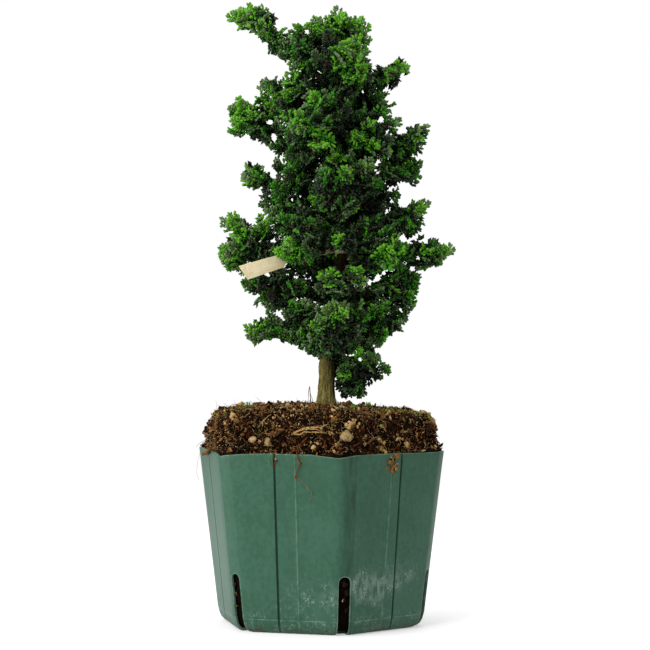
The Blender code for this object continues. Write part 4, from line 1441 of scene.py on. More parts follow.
# %% Measure the spaces
def ways_round(count, turn=0.0):
    """Directions spread evenly over a sphere."""
    i = np.arange(count)
    z = 1 - (2 * i + 1) / count
    flat = np.sqrt(1 - z * z)
    angle = i * math.pi * (3 - math.sqrt(5)) + turn
    return np.stack([flat * np.cos(angle), flat * np.sin(angle), z], 1)


class Space:
    """The flat sides of the convex shape round a mass, and the middle that the mass grows from."""

    def __init__(self, name):
        self.name = name
        bm = bmesh.new()
        for point in node_points(name):
            bm.verts.new(point)
        made = bmesh.ops.convex_hull(bm, input=bm.verts)
        inner = [g for g in made["geom_interior"] if isinstance(g, bmesh.types.BMVert)]
        bmesh.ops.delete(bm, geom=inner, context="VERTS")
        bmesh.ops.recalc_face_normals(bm, faces=bm.faces)
        bm.normal_update()
        areas = np.array([face.calc_area() for face in bm.faces])
        middles = np.array([face.calc_center_median()[:] for face in bm.faces])
        self.normals = np.array([face.normal[:] for face in bm.faces])
        self.limits = (self.normals * middles).sum(1)
        self.hub = Vector((middles * areas[:, None]).sum(0) / areas.sum())
        bm.verts.index_update()
        self.corners = [vert.co.copy() for vert in bm.verts]
        self.sides = [[vert.index for vert in face.verts] for face in bm.faces]
        bm.free()

    def reach(self, ways):
        """The distance from the middle to the edge in each direction."""
        rates = ways @ self.normals.T
        room = self.limits - self.normals @ np.array(self.hub)
        return np.where(rates > 1e-6, room / np.maximum(rates, 1e-6), 1e9).min(1)

    def holds(self, points, over=0.0):
        return (points @ self.normals.T <= self.limits + over).all(1)


mass_names = sorted(set(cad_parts) - set(bough_names) - {"pot", "root_ball", "trunk", "name_tag"})
spaces = [Space(name) for name in mass_names]


def whole_crown():
    """Every space as one set of faces that rays can meet, and the mass of each face."""
    corners, sides, owners = [], [], []
    for k, space in enumerate(spaces):
        first = len(corners)
        corners += space.corners
        sides += [[first + i for i in side] for side in space.sides]
        owners += [k] * len(space.sides)
    return BVHTree.FromPolygons(corners, sides), owners


crown_tree, crown_owners = whole_crown()
RAYS = ways_round(40)
OPEN_SIGHT = 0.12


def openness(point, way):
    """The share of rays on the outer side of a point that leave the crown."""
    ways = RAYS[RAYS @ np.array(way) > 0.1]
    free = sum(1 for ray_way in ways if crown_tree.ray_cast(point, Vector(ray_way), OPEN_SIGHT)[0] is None)
    return free / len(ways)


def held_by_another(point, mass):
    """Whether a point lies inside the space of any mass but this one."""
    spot = np.array([point])
    return any(space.holds(spot)[0] for k, space in enumerate(spaces) if k != mass)


print("masses", len(spaces))

# %% [markdown]
# ## The lines that the shoots leave from
#
# A bough's solid is a bent tube, so the mean of its points at each distance from its foot gives its middle
# line. That line runs on to the middle of the mass at its end. A mass without a bough of its own hangs on a
# short stem from the trunk.


# %% Trace the limbs
LIMB_STEPS = 7


def limb_line(space):
    """The points of the line from the trunk to a mass's middle, and whether a bough carries it."""
    bough = "bough_" + space.name
    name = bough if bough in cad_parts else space.name
    points = node_points(name)
    start = points[np.argsort(off_trunk(points))[:4]].mean(0)
    if name != bough:
        return [Vector(start), space.hub], False
    far = np.linalg.norm(points - start, axis=1)
    steps = np.minimum((far / far.max() * LIMB_STEPS).astype(int), LIMB_STEPS - 1)
    line = [Vector(points[steps == k].mean(0)) for k in range(LIMB_STEPS) if (steps == k).any()]
    return [*line, space.hub], True


limb_lines = [limb_line(space) for space in spaces]
limb_points = [(spot, mass) for mass, (line, _) in enumerate(limb_lines) for spot in line]


def nearest_limb(place):
    """The nearest point of any limb to a place, and the limb's mass."""
    return min(limb_points, key=lambda pair: (pair[0] - place).length)


print("boughs", sum(1 for _, bough in limb_lines if bough))

# %% [markdown]
# ## One spray
#
# The foliage of this dwarf conifer is a fan: a short axis with side shoots left and right, all set with
# blunt scale leaves about three millimetres long. A plan of one fan lists each leaf's place, direction and
# size. Ten plans from different seeds are enough, because every copy is turned and sized afresh.

# %% Plan the fans
LEAF_LONG = 0.00180
LEAF_WIDE = 0.00120
LEAF_THICK = 0.00085
LEAF_STEP = 0.00195
FAN_STEPS = 5
SIDE_SHOOTS = (3, 3, 2, 1)
FAN_PLANS = 10
FAN_REACH = 0.0115


def fan_plan(seed):
    """One flat fan as rows: the 3 by 4 place of each leaf, and how near the tip of its shoot it is."""
    rng = random.Random(seed)
    rows = []
    curl = rng.uniform(-0.35, 0.30)

    def leaf(x, y, lift, angle, size, tipness):
        far = math.hypot(x, y)
        slope = -2 * curl * far / FAN_REACH * math.cos(angle - math.atan2(y, x))
        along = Vector((math.cos(angle), math.sin(angle), slope + rng.uniform(-0.45, 0.45))).normalized()
        over = Vector((rng.uniform(-0.5, 0.5), rng.uniform(-0.5, 0.5), 1))
        across = over.cross(along).normalized()
        over = along.cross(across)
        spot = Vector((x, y, lift - curl * far * far / FAN_REACH)) + along * LEAF_LONG * size * 0.8
        axes = [along * LEAF_LONG * size, across * LEAF_WIDE * size, over * LEAF_THICK * size]
        rows.append((np.array([*axes, spot]).T, tipness))

    def shoot(x, y, lift, angle, count, size):
        for k in range(count):
            last = k == count - 1
            splay = 0 if last else (1 if k % 2 else -1) * rng.uniform(0.35, 0.85)
            grown = 1.15 if last else rng.uniform(0.85, 1.08)
            leaf(x, y, lift, angle + splay, size * grown, (k + 1) / count)
            angle += rng.uniform(-0.15, 0.15)
            x += LEAF_STEP * math.cos(angle)
            y += LEAF_STEP * math.sin(angle)
            lift += rng.uniform(-0.3, 0.3) * LEAF_STEP
            yield x, y, lift, angle

    axis = list(shoot(0, 0, 0, 0, FAN_STEPS, 1.0))
    for (x, y, lift, angle), most in zip(axis, SIDE_SHOOTS):
        for side in (-1, 1):
            turn = angle + side * rng.uniform(0.65, 1.05)
            count = max(1, most - (rng.random() < 0.35))
            list(shoot(x, y, lift, turn, count, 0.97))
    return np.array([place for place, _ in rows]), np.array([tip for _, tip in rows])


fan_plans = [fan_plan(seed) for seed in range(FAN_PLANS)]
print("leaves in a fan", [len(tips) for _, tips in fan_plans])

# %% [markdown]
# A leaf is a small blunt ellipsoid, fuller towards its tip. Four sides are enough at this size. Leaves at
# the tips of fresh shoots stand out against the sky, so their shape has one more ring.


# %% Shape one leaf
def leaf_shape(around, along):
    """A blunt scale leaf along +X, fuller towards its tip."""
    bm = bmesh.new()
    bmesh.ops.create_uvsphere(bm, u_segments=around, v_segments=along, radius=1)
    bmesh.ops.rotate(bm, verts=bm.verts, matrix=Matrix.Rotation(math.pi / 2, 3, "Y"))
    for vert in bm.verts:
        full = 0.86 + 0.24 * vert.co.x
        vert.co.y *= full
        vert.co.z *= full
    return shape_arrays(bm)


tip_leaf = leaf_shape(4, 3)
plain_leaf = leaf_shape(4, 2)
print("leaf triangles", len(tip_leaf[1]), len(plain_leaf[1]))

# %% [markdown]
# ## Colours dealt out by spray
#
# New growth at the open tips is a bright yellow green, and older leaves are deep green. Many older sprays
# carry a blue-grey bloom, most of them low on the plant's left. Each is a plain colour. Both run in ladders
# from dark to pale: hidden, shade and slate are painted shade, frost is painted light, and the steps
# between are the plant's own colours with some painted light and shade. A spray has an age, which is high
# for the young and also carries painted light and shade, and each of its leaves takes the colour for that
# age and for its distance from the tip.

# %% Mix the leaf colours
# Hidden, shade and slate are painted shade; frost is painted light.
LEAF_COLOURS = {
    "leaf_hidden": (11, 20, 8), "leaf_shade": (21, 42, 13), "leaf_deep": (31, 68, 17),
    "leaf_green": (42, 98, 14), "leaf_fresh": (54, 129, 16), "leaf_bright": (74, 155, 20),
    "leaf_tip": (108, 184, 34), "leaf_slate": (27, 39, 22), "leaf_bloom": (50, 70, 42),
    "leaf_grey": (80, 102, 64), "leaf_frost": (110, 137, 86), "leaf_dead": (88, 62, 38),
}
HIDDEN, SLATE, DEAD = (list(LEAF_COLOURS).index("leaf_" + name) for name in ("hidden", "slate", "dead"))
leaf_materials = [
    material_of(name, colour(*rgb), 0.55, Specular_IOR_Level=0.18) for name, rgb in LEAF_COLOURS.items()
]
print("leaf colours", len(leaf_materials))

# %% [markdown]
# ## What the photograph shows of the crown
#
# The photograph shows where this plant's bright bunches lie on its front, where shoots reach out of its
# outline, where dead or dark places lie, and where the air between them is clear. They are listed in the
# picture's own pixels. A ray from the camera through such a place finds the mass that it lies on, and the
# shoot grows from that mass like any other. Cover shoots close what the masses leave open, at a depth of
# their own.

# %% Name the places
BRIGHT_SPOTS = (
    (251, 10, 12), (238, 17, 12), (262, 20, 11), (250, 26, 11), (259, 33, 9), (340, 15, 12), (321, 19, 10),
    (360, 38, 11), (347, 42, 14), (341, 58, 12), (354, 54, 11), (402, 66, 11), (364, 68, 10), (393, 74, 10),
    (351, 77, 9), (285, 76, 9), (286, 89, 10), (313, 95, 11), (269, 101, 10), (237, 107, 12),
    (247, 113, 10), (296, 115, 13), (422, 132, 11), (317, 140, 14), (360, 136, 8), (392, 152, 13),
    (279, 164, 11), (346, 172, 9), (389, 173, 11), (247, 176, 12), (315, 201, 8), (356, 207, 8),
    (229, 222, 10), (259, 224, 8), (235, 232, 12), (231, 243, 9), (288, 244, 13), (338, 240, 9),
    (390, 250, 14), (403, 249, 11), (225, 255, 9), (281, 254, 9), (232, 265, 8), (324, 274, 12),
    (358, 269, 9), (250, 328, 11), (342, 314, 10), (319, 321, 9), (370, 348, 8), (347, 376, 8),
    (430, 250, 12), (424, 208, 10), (448, 250, 8), (265, 97, 9), (378, 146, 9), (388, 108, 8),
    (333, 152, 8), (300, 128, 8), (372, 120, 8),
)
EDGE_SHOOTS = (
    (228, 14), (236, 10), (248, 3), (261, 3), (294, 24), (286, 33), (314, 20), (370, 25), (372, 37),
    (276, 55), (289, 61), (263, 78), (258, 87), (268, 89), (237, 97), (226, 108), (233, 102), (227, 132),
    (231, 124), (268, 148), (279, 146), (282, 136), (396, 106), (401, 118), (389, 91), (373, 160),
    (423, 165), (421, 180), (402, 193), (430, 202), (241, 167), (281, 187), (262, 200), (265, 221),
    (220, 218), (228, 213), (217, 257), (222, 266), (234, 270), (245, 280), (251, 288), (267, 311),
    (243, 328), (245, 336), (420, 272), (418, 306), (370, 344), (379, 348), (392, 369), (310, 340),
    (317, 358), (344, 382), (345, 392), (352, 397), (340, 398), (362, 396), (455, 249), (332, 303),
    (340, 305), (327, 308), (336, 298), (346, 302), (330, 353), (325, 351), (320, 349), (337, 342),
    (284, 47), (289, 52), (296, 60), (293, 336), (288, 332), (301, 279), (305, 288), (294, 298), (289, 301),
    (304, 301), (368, 282), (373, 286), (383, 298), (387, 303), (368, 301), (373, 305), (388, 211),
    (383, 220), (278, 234), (340, 353), (360, 356), (366, 220), (404, 238), (397, 290), (395, 275),
    (377, 353), (261, 83), (419, 275), (264, 212), (260, 300), (350, 14), (289, 36), (423, 148), (240, 277),
    (278, 318), (409, 270), (220, 249), (361, 20), (284, 153), (404, 193), (345, 398), (271, 95),
    (421, 231), (230, 120), (360, 397), (310, 22), (415, 296), (406, 326), (286, 28), (281, 115), (327, 16),
    (420, 179), (443, 264), (416, 309), (233, 10), (367, 32), (241, 181), (226, 269), (380, 276),
    (414, 232), (383, 221), (380, 358), (371, 50), (295, 23), (423, 166), (424, 200), (219, 260),
    (265, 310), (284, 42), (291, 49), (297, 55), (282, 50), (276, 43), (290, 57), (300, 49), (292, 334),
    (298, 339), (304, 343), (310, 346), (287, 336), (294, 342), (302, 348), (383, 284), (372, 300),
    (373, 279), (338, 352), (346, 358), (353, 350), (341, 363), (336, 346), (361, 352), (338, 372),
    (340, 381), (350, 366), (276, 333), (285, 336), (293, 337), (269, 331), (300, 332), (284, 328),
    (262, 320), (256, 335), (337, 390), (443, 263), (411, 67), (335, 5), (367, 229), (378, 221), (375, 283),
    (376, 297), (302, 266), (311, 281), (319, 286),
)
SKY_SPOTS = (
    (252, 41, 5), (264, 50, 4), (269, 123, 4), (274, 137, 4), (319, 73, 3), (345, 31, 3), (381, 120, 4),
    (307, 32, 3), (360, 359, 3), (418, 258, 3), (280, 12, 6), (281, 22, 5), (239, 45, 11), (253, 51, 9),
    (263, 56, 6), (300, 17, 8), (324, 7, 6), (357, 8, 8), (387, 52, 11), (398, 52, 7), (377, 61, 4),
    (411, 82, 8), (283, 18, 5), (290, 9, 6), (272, 73, 3), (395, 97, 4), (248, 97, 6), (410, 122, 6),
    (404, 131, 4), (436, 148, 9), (239, 147, 9), (262, 158, 8), (273, 173, 4), (243, 195, 10),
    (256, 199, 5), (248, 210, 8), (216, 234, 8), (404, 202, 7), (408, 188, 5), (440, 233, 8), (430, 235, 4),
    (433, 273, 7), (425, 290, 6), (416, 318, 8), (411, 329, 9), (400, 341, 10), (393, 351, 5),
    (386, 359, 5), (381, 393, 9), (372, 389, 4), (286, 355, 7), (270, 355, 8), (297, 359, 7), (255, 315, 5),
    (228, 45, 9), (300, 6, 8), (258, 42, 5), (247, 38, 4), (384, 64, 4), (268, 168, 5), (424, 241, 3),
    (233, 31, 5), (402, 84, 5), (258, 192, 4), (404, 184, 3), (259, 346, 4), (408, 76, 3), (250, 145, 5),
    (396, 90, 4), (401, 132, 3), (432, 224, 4), (235, 140, 4), (274, 176, 4), (418, 119, 5), (266, 346, 7),
    (276, 344, 7), (285, 348, 7), (293, 351, 7), (301, 356, 7), (309, 361, 7), (265, 45, 4), (273, 154, 3),
    (254, 163, 4), (271, 77, 4), (368, 57, 3), (258, 94, 3), (234, 26, 4), (415, 239, 3), (247, 34, 4),
    (250, 222, 4), (403, 187, 4), (230, 137, 4), (373, 56, 4), (249, 343, 4), (392, 60, 4), (403, 76, 4),
    (245, 138, 4), (255, 37, 4), (286, 68, 4),
)
DEAD_SPOTS = (
    (247, 286), (251, 290), (268, 294), (258, 289), (322, 63), (309, 72), (378, 282),
)
COVER_SHOOTS = (
    (284, 45, -0.007, 0.30), (288, 50, -0.008, 0.35), (293, 55, -0.008, 0.30), (280, 41, -0.007, 0.35),
    (299, 60, -0.008, 0.30), (291, 336, -0.008, 0.35), (297, 341, -0.008, 0.30), (285, 333, -0.008, 0.40),
    (274, 252, -0.034, 0.85), (277, 256, -0.034, 0.80), (283, 259, -0.034, 0.75), (289, 261, -0.034, 0.60),
    (284, 249, -0.036, 0.85), (280, 247, -0.034, 0.80), (295, 256, -0.035, 0.70), (304, 262, -0.034, 0.55),
    (272, 306, 0.002, 0.30), (280, 309, 0.0, 0.35), (288, 312, 0.002, 0.35), (283, 315, -0.002, 0.30),
    (274, 313, 0.0, 0.35), (268, 302, 0.0, 0.30), (268, 309, 0.0, 0.35), (270, 317, 0.0, 0.40),
    (277, 302, 0.002, 0.30), (278, 319, 0.0, 0.30), (264, 320, 0.0, 0.40), (421, 277, 0, 0.35),
    (420, 285, 0, 0.30), (418, 293, 0, 0.30), (417, 307, 0, 0.30), (424, 222, 0, 0.40), (422, 229, 0, 0.30),
    (405, 194, 0, 0.40), (379, 346, 0, 0.50), (380, 355, 0, 0.40), (289, 30, 0, 0.40), (287, 38, 0, 0.30),
    (261, 81, 0, 0.40), (275, 153, 0, 0.35), (274, 158, 0, 0.35), (281, 150, 0, 0.30), (270, 192, 0, 0.30),
    (261, 207, 0, 0.35), (241, 280, 0, 0.35), (244, 286, 0, 0.30), (218, 250, 0, 0.80), (364, 19, 0, 0.50),
    (311, 18, 0, 0.50), (315, 16, 0, 0.40), (338, 364, 0.006, 0.10), (337, 373, 0.008, 0.15),
    (337, 367, 0.010, 0.05), (338, 376, 0.008, 0.10), (338, 383, 0.008, 0.05), (338, 355, -0.006, 0.15),
    (335, 350, -0.008, 0.10), (345, 353, -0.008, 0.15), (305, 267, 0.0, 0.25), (313, 276, 0.0, 0.20),
    (375, 282, 0.0, 0.30), (388, 270, 0.0, 0.30), (318, 350, -0.010, 0.30), (324, 352, -0.011, 0.35),
    (329, 350, -0.010, 0.30), (322, 345, -0.012, 0.30),
)  # pixel across and down, place towards the back in metres, age
# Hollows in the crown: the bunches seen in them get painted shade.
HOLLOW_SPOTS = (
    (325, 31, 9), (334, 66, 8), (351, 106, 12), (338, 128, 10), (341, 141, 7), (368, 140, 8), (357, 119, 8),
    (288, 231, 9), (313, 231, 12), (330, 236, 10), (336, 214, 8), (364, 204, 9), (380, 208, 8),
    (393, 181, 7), (272, 227, 7), (355, 242, 9), (358, 282, 8), (345, 340, 12), (335, 390, 10),
    (355, 353, 8), (296, 197, 7), (333, 358, 9), (348, 363, 9), (350, 393, 9), (362, 374, 7), (330, 336, 8),
)
CLEAR_SPOTS = ((325, 368, 8), (325, 378, 8), (325, 388, 8), (325, 398, 8), (341, 260, 6), (341, 268, 5))
TAG_SPOTS = ((244, 272, 8), (254, 270, 8), (264, 266, 8), (271, 265, 6))
TAIL_SPOTS = ((317, 247, 3), (322, 248, 3), (328, 250, 4), (334, 251, 4), (340, 252, 4), (346, 253, 4))


CROWN_DEPTHS = np.linspace(-0.08, 0.08, 33)


def seen_at(points):
    """Where the camera sees points: their pixels in the photograph's frame."""
    offset = points - np.array(CAMERA_SPOT)
    shrink = -CAMERA_SPOT.y / offset[:, 1] / PIXEL
    return np.stack([PHOTO_MIDDLE + offset[:, 0] * shrink, PHOTO_MIDDLE - offset[:, 2] * shrink], 1)


def in_spots(points, spots, more=0.0):
    """Which points the camera sees within any of these spots."""
    seen = seen_at(points)
    found = np.zeros(len(points), bool)
    for x, y, radius in spots:
        found |= np.hypot(seen[:, 0] - x, seen[:, 1] - y) < radius + more
    return found


def seen_in(point, spots, more=0.0):
    """Whether the camera sees one point within any of these spots."""
    return in_spots(np.array([point]), spots, more)[0]


def spot_on_crown(x, y):
    """The point at a pixel on the crown's front, or beside the crown where the line of sight comes closest to
    it, and its mass."""
    point, _, _, face = met_at(crown_tree, x, y, CROWN_DEPTHS)
    return point, crown_owners[face]


print("spots", len(BRIGHT_SPOTS), "shoots", len(EDGE_SHOOTS), "clear", len(SKY_SPOTS))

# %% [markdown]
# ## Growing the bunches
#
# The source grows twigs in evenly spread directions from each mass's middle, each ending in a spray at the
# edge. Here the same rule goes one step finer: each twig ends in a knuckle, and a bunch of fans leaves it,
# one straight on and the others leaning out round it. The bunches stop a little before or beyond the edge,
# so the crown is lumpy, with dark hollows between its bunches. The places that the photograph names come
# first.

# %% Set out the named bunches
BUNCH_SPACING = 0.0125
BUNCH_NEAREST = 0.0088
BUNCH_LONG = 0.0105
BUNCH_DEPTH_SPREAD = 0.0026
BUNCH_OUT = 0.0011
OPEN_LEAST = 0.10
SLEEVE_STEP = 0.0085
SLEEVE_ROUND = 3
SLEEVE_OUT = 0.0085
TRUNK_SHOOTS_FROM = 0.190
TRUNK_SHOOTS_TO = 0.395
TRUNK_SHOOT_RISE = 0.0013
GOLDEN_TURN = 2.4  # the turn from one shoot to the next round a stem
SLEEVE_NEAREST = 0.0065
TRUNK_SHOOT_NEAREST = 0.0070
SKY_MARGIN = 3
SLEEVE_SKY_MARGIN = 2
FRONT_TO = 0.012  # bunches before this place are dealt their ages as the front's
BACK_NEW_CHANCE = 0.34
OLD_CHANCE_FROM = 0.74
LOW_LEFT_OLD_MORE = 0.30
LOW_HEIGHT = 0.27
FOLIAGE_SEED = 404

bunches = []
bunch_tips = []


def sprout(mass, root, tip, size, age, kind, free=False):
    """One bunch at the end of a twig from root to the tip; a free one may leave its mass."""
    bunches.append((mass, root, tip, size, age, kind, free))
    bunch_tips.append(tip)


def crowded(tip, least):
    return any((tip - other).length < least for other in bunch_tips)


def age_of(front, tip, rng):
    """The age and kind of a bunch that no bright spot names."""
    chance = rng.random()
    if not front and chance < BACK_NEW_CHANCE:
        return rng.uniform(0.55, 0.85), "new"
    if chance > OLD_CHANCE_FROM - LOW_LEFT_OLD_MORE * (tip.z < LOW_HEIGHT and tip.x < 0.02):
        return rng.uniform(0.05, 0.4), "old"
    return rng.uniform(0.08, 0.44), "grown"


for x, y, radius in BRIGHT_SPOTS:
    rng = random.Random(x * 1000 + y)
    point, mass = spot_on_crown(x, y)
    way = (point - spaces[mass].hub).normalized()
    size = min(1.2, max(0.8, radius / 10.5))
    sprout(mass, spaces[mass].hub, point + way * 0.0025, size, rng.uniform(0.72, 1.00), "new")
for x, y in EDGE_SHOOTS:
    rng = random.Random(x * 1000 + y)
    point, mass = spot_on_crown(x, y)
    bright = any(math.hypot(x - spot[0], y - spot[1]) < spot[2] + 8 for spot in BRIGHT_SPOTS)
    age = rng.uniform(0.75, 1.0) if bright else rng.uniform(0.22, 0.55)
    sprout(mass, spaces[mass].hub, point, 0.85, age, "grown", True)
for x, y, depth, age in COVER_SHOOTS:
    tip = at_depth(view_way(x, y), depth)
    root, mass = nearest_limb(tip)
    sprout(mass, root, tip, 0.85, age, "new" if age > 0.5 else "grown", True)
for x, y in DEAD_SPOTS:
    point, mass = spot_on_crown(x, y)
    way = (point - spaces[mass].hub).normalized()
    sprout(mass, spaces[mass].hub, point + way * 0.001, 0.5, 0.2, "dead", True)
print("bunches by name", len(bunches))

# %% [markdown]
# The rest of each mass's edge is filled with bunches in evenly spread directions. A direction is passed
# over where another bunch or mass is in the way, where the photograph shows clear air, or where the crown
# is shut in.

# %% Fill the edges of the masses
for mass, space in enumerate(spaces):
    rng = random.Random(FOLIAGE_SEED + mass)
    wide = space.reach(ways_round(60))
    count = max(10, round(4 * math.pi * float((wide**2).mean()) / BUNCH_SPACING**2))
    for way in ways_round(count, rng.uniform(0, math.tau)):
        way = (Vector(way) + Vector([rng.uniform(-0.2, 0.2) for _ in range(3)])).normalized()
        reach = float(space.reach(np.array([way]))[0]) + rng.gauss(BUNCH_OUT, BUNCH_DEPTH_SPREAD)
        tip = space.hub + way * reach
        before = tip + way * 0.002
        if held_by_another(before, mass) or crowded(tip, BUNCH_NEAREST):
            continue
        if seen_in(tip, SKY_SPOTS, SKY_MARGIN) or openness(before, way) < OPEN_LEAST:
            continue
        age, kind = age_of(tip.y < FRONT_TO, tip, rng)
        sprout(mass, space.hub, tip, rng.uniform(0.85, 1.1), age, kind)
surface_count = len(bunches)
print("bunches at the edges", surface_count)

# %% [markdown]
# Boughs and stems carry smaller bunches along their whole length, and the trunk carries short shoots inside
# the crown. They turn round it by the same angle from one to the next, and stay clear of the bare trunk
# that shows in the photograph.

# %% Dress the limbs and the trunk
for mass, (line, _) in enumerate(limb_lines):
    rng = random.Random(FOLIAGE_SEED * 2 + mass)
    turn = rng.uniform(0, math.tau)
    for start, end in zip(line[:-1], line[1:]):
        along = (end - start).normalized()
        for k in range(math.ceil((end - start).length / SLEEVE_STEP * SLEEVE_ROUND)):
            root = start.lerp(end, rng.random())
            turn += GOLDEN_TURN
            out = Matrix.Rotation(turn, 3, along) @ along.orthogonal().normalized()
            tip = root + (out + along * 0.45 + UP * 0.15).normalized() * SLEEVE_OUT * rng.uniform(0.8, 1.3)
            if held_by_another(tip, None) or crowded(tip, SLEEVE_NEAREST):
                continue
            if seen_in(tip, SKY_SPOTS, SLEEVE_SKY_MARGIN):
                continue
            age, kind = age_of(True, tip, rng)
            sprout(mass, root, tip, rng.uniform(0.65, 0.85), age * 0.8, kind, True)
limb_count = len(bunches)
rng = random.Random(FOLIAGE_SEED * 7)
turn = 0.0
for height in np.arange(TRUNK_SHOOTS_FROM, TRUNK_SHOOTS_TO, TRUNK_SHOOT_RISE):
    middle, radius = trunk_at(height)
    turn += GOLDEN_TURN
    out = at_bearing(1, turn, 0.25).normalized()
    tip = middle + out * (radius + rng.uniform(0.010, 0.020))
    if crowded(tip, TRUNK_SHOOT_NEAREST) or seen_in(tip, SKY_SPOTS + CLEAR_SPOTS, SKY_MARGIN):
        continue
    mass = min(range(len(spaces)), key=lambda k: (spaces[k].hub - tip).length)
    age, kind = age_of(True, tip, rng)
    sprout(mass, middle - UP * 0.004, tip, rng.uniform(0.75, 0.95), age * 0.7, kind, True)
print("bunches on limbs", limb_count - surface_count, "on the trunk", len(bunches) - limb_count)

# %% [markdown]
# The masses leave gaps between them that twigs bridge on the real plant. A place counts as such a gap if it
# is near a mass and most rays from it soon meet foliage. A small bunch grows there from the nearest limb.

# %% Bridge the gaps
GAP_STEP = 0.0095
GAP_NEAR = 0.013
GAP_SIGHT = 0.055
GAP_CLOSED = 0.52
GAP_NEAREST = 0.0082
GAP_OFF_TRUNK = 0.006
GAP_LEAST_TWIG = 0.004

mass_boxes = [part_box(name) for name in mass_names]
crown_low = np.min([low for low, _ in mass_boxes], 0)
crown_high = np.max([high for _, high in mass_boxes], 0)


def closed_share(point):
    """The share of rays all round a point that soon meet a mass."""
    met = sum(1 for way in RAYS if crown_tree.ray_cast(point, Vector(way), GAP_SIGHT)[0] is not None)
    return met / len(RAYS)


rng = random.Random(FOLIAGE_SEED * 5)
steps = [np.arange(crown_low[i], crown_high[i], GAP_STEP) for i in range(3)]
gap_start = len(bunches)
for cell in np.array(np.meshgrid(*steps)).reshape(3, -1).T:
    point = Vector(cell) + Vector([rng.uniform(-0.4, 0.4) * GAP_STEP for _ in range(3)])
    middle, radius = trunk_at(point.z)
    if (point - middle).length < radius + GAP_OFF_TRUNK or crown_tree.find_nearest(point)[3] > GAP_NEAR:
        continue
    if held_by_another(point, None) or crowded(point, GAP_NEAREST):
        continue
    if seen_in(point, SKY_SPOTS, SKY_MARGIN) or closed_share(point) < GAP_CLOSED:
        continue
    root, mass = nearest_limb(point)
    if (root - point).length < GAP_LEAST_TWIG:
        continue
    age, kind = age_of(True, point, rng)
    sprout(mass, root, point, rng.uniform(0.8, 1.0), age * 0.75, kind, True)
print("bunches in gaps", len(bunches) - gap_start)

# %% [markdown]
# A bunch is not a ball. One fan leads at its tip, and the others leave the twig below it, each a bit
# further back and leaning further out, so the bunch is pointed and ragged. Its twig bends out along the
# bough and up to the light. The leading fan is fresher; fans that face up get painted light, and the ones
# behind get painted shade as dark as the old growth.

# %% Turn the bunches into fans
SIDE_FANS = 5
FIRST_LEAN = 0.45
LEAN_MORE = 0.75
SET_BACK = 0.0062
FLATNESS = 0.6
OUT_ALONG_BOUGH = 0.5
UP_TO_LIGHT = 0.2
LEAD_FRESH = 0.12
# Painted shade on the fans further back, painted light on the fans that face up.
BACK_SHADE = 0.40
UP_LIGHT = 0.16
HOLLOW_LEAF_SHADE = 0.42
INNER_FANS = 12
INNER_DEPTH = 0.021


def fan_matrix(base, way, over, size):
    """The 4 by 4 place of a fan that starts at base, grows along way and has its flat side towards over."""
    across = over.cross(way).normalized()
    over = way.cross(across)
    return np.array([[*way * size, 0], [*across * size, 0], [*over * size, 0], [*base, 1]]).T


def bunch_axis(mass, root, tip):
    """The way a bunch points: away from its root, out along its bough and up to the light."""
    line = limb_lines[mass][0]
    outwards = (line[-1] - line[0]).normalized()
    return ((tip - root).normalized() + outwards * OUT_ALONG_BOUGH + UP * UP_TO_LIGHT).normalized()


def bunch_fans(axis, tip, size, kind, rng):
    """The place of each of a bunch's fans, and its freshness with painted light and shade."""
    side = Matrix.Rotation(rng.uniform(0, math.pi), 3, axis) @ axis.orthogonal().normalized()
    other = axis.cross(side) * FLATNESS
    turn = rng.uniform(0, math.tau)
    lift = UP * (-0.25 if kind == "old" else 0.10)
    made = []
    for k in range(SIDE_FANS + 1):
        share = k / SIDE_FANS
        lean = rng.uniform(0, 0.25) if k == 0 else FIRST_LEAN + LEAN_MORE * share * rng.uniform(0.7, 1.2)
        turn += GOLDEN_TURN + rng.uniform(-0.3, 0.3)
        round_way = (side * math.cos(turn) + other * math.sin(turn)).normalized()
        fan_way = (axis * math.cos(lean) + round_way * math.sin(lean) + lift).normalized()
        over = Matrix.Rotation(rng.uniform(-0.8, 0.8), 3, fan_way) @ (axis if k else round_way)
        base = tip - axis * size * (BUNCH_LONG + SET_BACK * share)
        # The lead fan is fresher; painted shade on fans further back, painted light on fans facing up.
        fresh_and_light = (LEAD_FRESH if k == 0 else 0) - BACK_SHADE * share + UP_LIGHT * fan_way.z
        scale = size * (rng.uniform(0.9, 1.1) if k == 0 else rng.uniform(0.68, 1.08))
        made.append((fan_matrix(base, fan_way, over, scale), fresh_and_light))
    return made


fans = [[] for _ in spaces]
twig_lines = []
for number, (mass, root, tip, size, age, kind, free) in enumerate(bunches):
    rng = random.Random(FOLIAGE_SEED + number)
    axis = bunch_axis(mass, root, tip)
    # Painted shade: bunches seen in the crown's hollows are made darker.
    if kind != "new" and seen_in(tip, HOLLOW_SPOTS):
        age -= HOLLOW_LEAF_SHADE
    for matrix, fresh_and_light in bunch_fans(axis, tip, size, kind, rng):
        fans[mass].append((matrix, age + fresh_and_light + rng.uniform(-0.10, 0.10), kind, free))
    twig_lines.append((root, tip - axis * BUNCH_LONG * size * 0.5))
# Inner fans deep in each mass get low ages: painted shade inside the crown.
for mass, space in enumerate(spaces):
    rng = random.Random(FOLIAGE_SEED * 3 + mass)
    for way in ways_round(INNER_FANS, rng.uniform(0, math.tau)):
        way = Vector(way)
        reach = float(space.reach(np.array([way]))[0])
        over = Matrix.Rotation(rng.uniform(0, 3), 3, way) @ way.orthogonal().normalized()
        base = space.hub + way * max(0, reach - INNER_DEPTH)
        matrix = fan_matrix(base, way, over, rng.uniform(1.1, 1.4))
        fans[mass].append((matrix, rng.uniform(-0.4, 0.1), "hidden", False))
print("fans", sum(len(some) for some in fans))

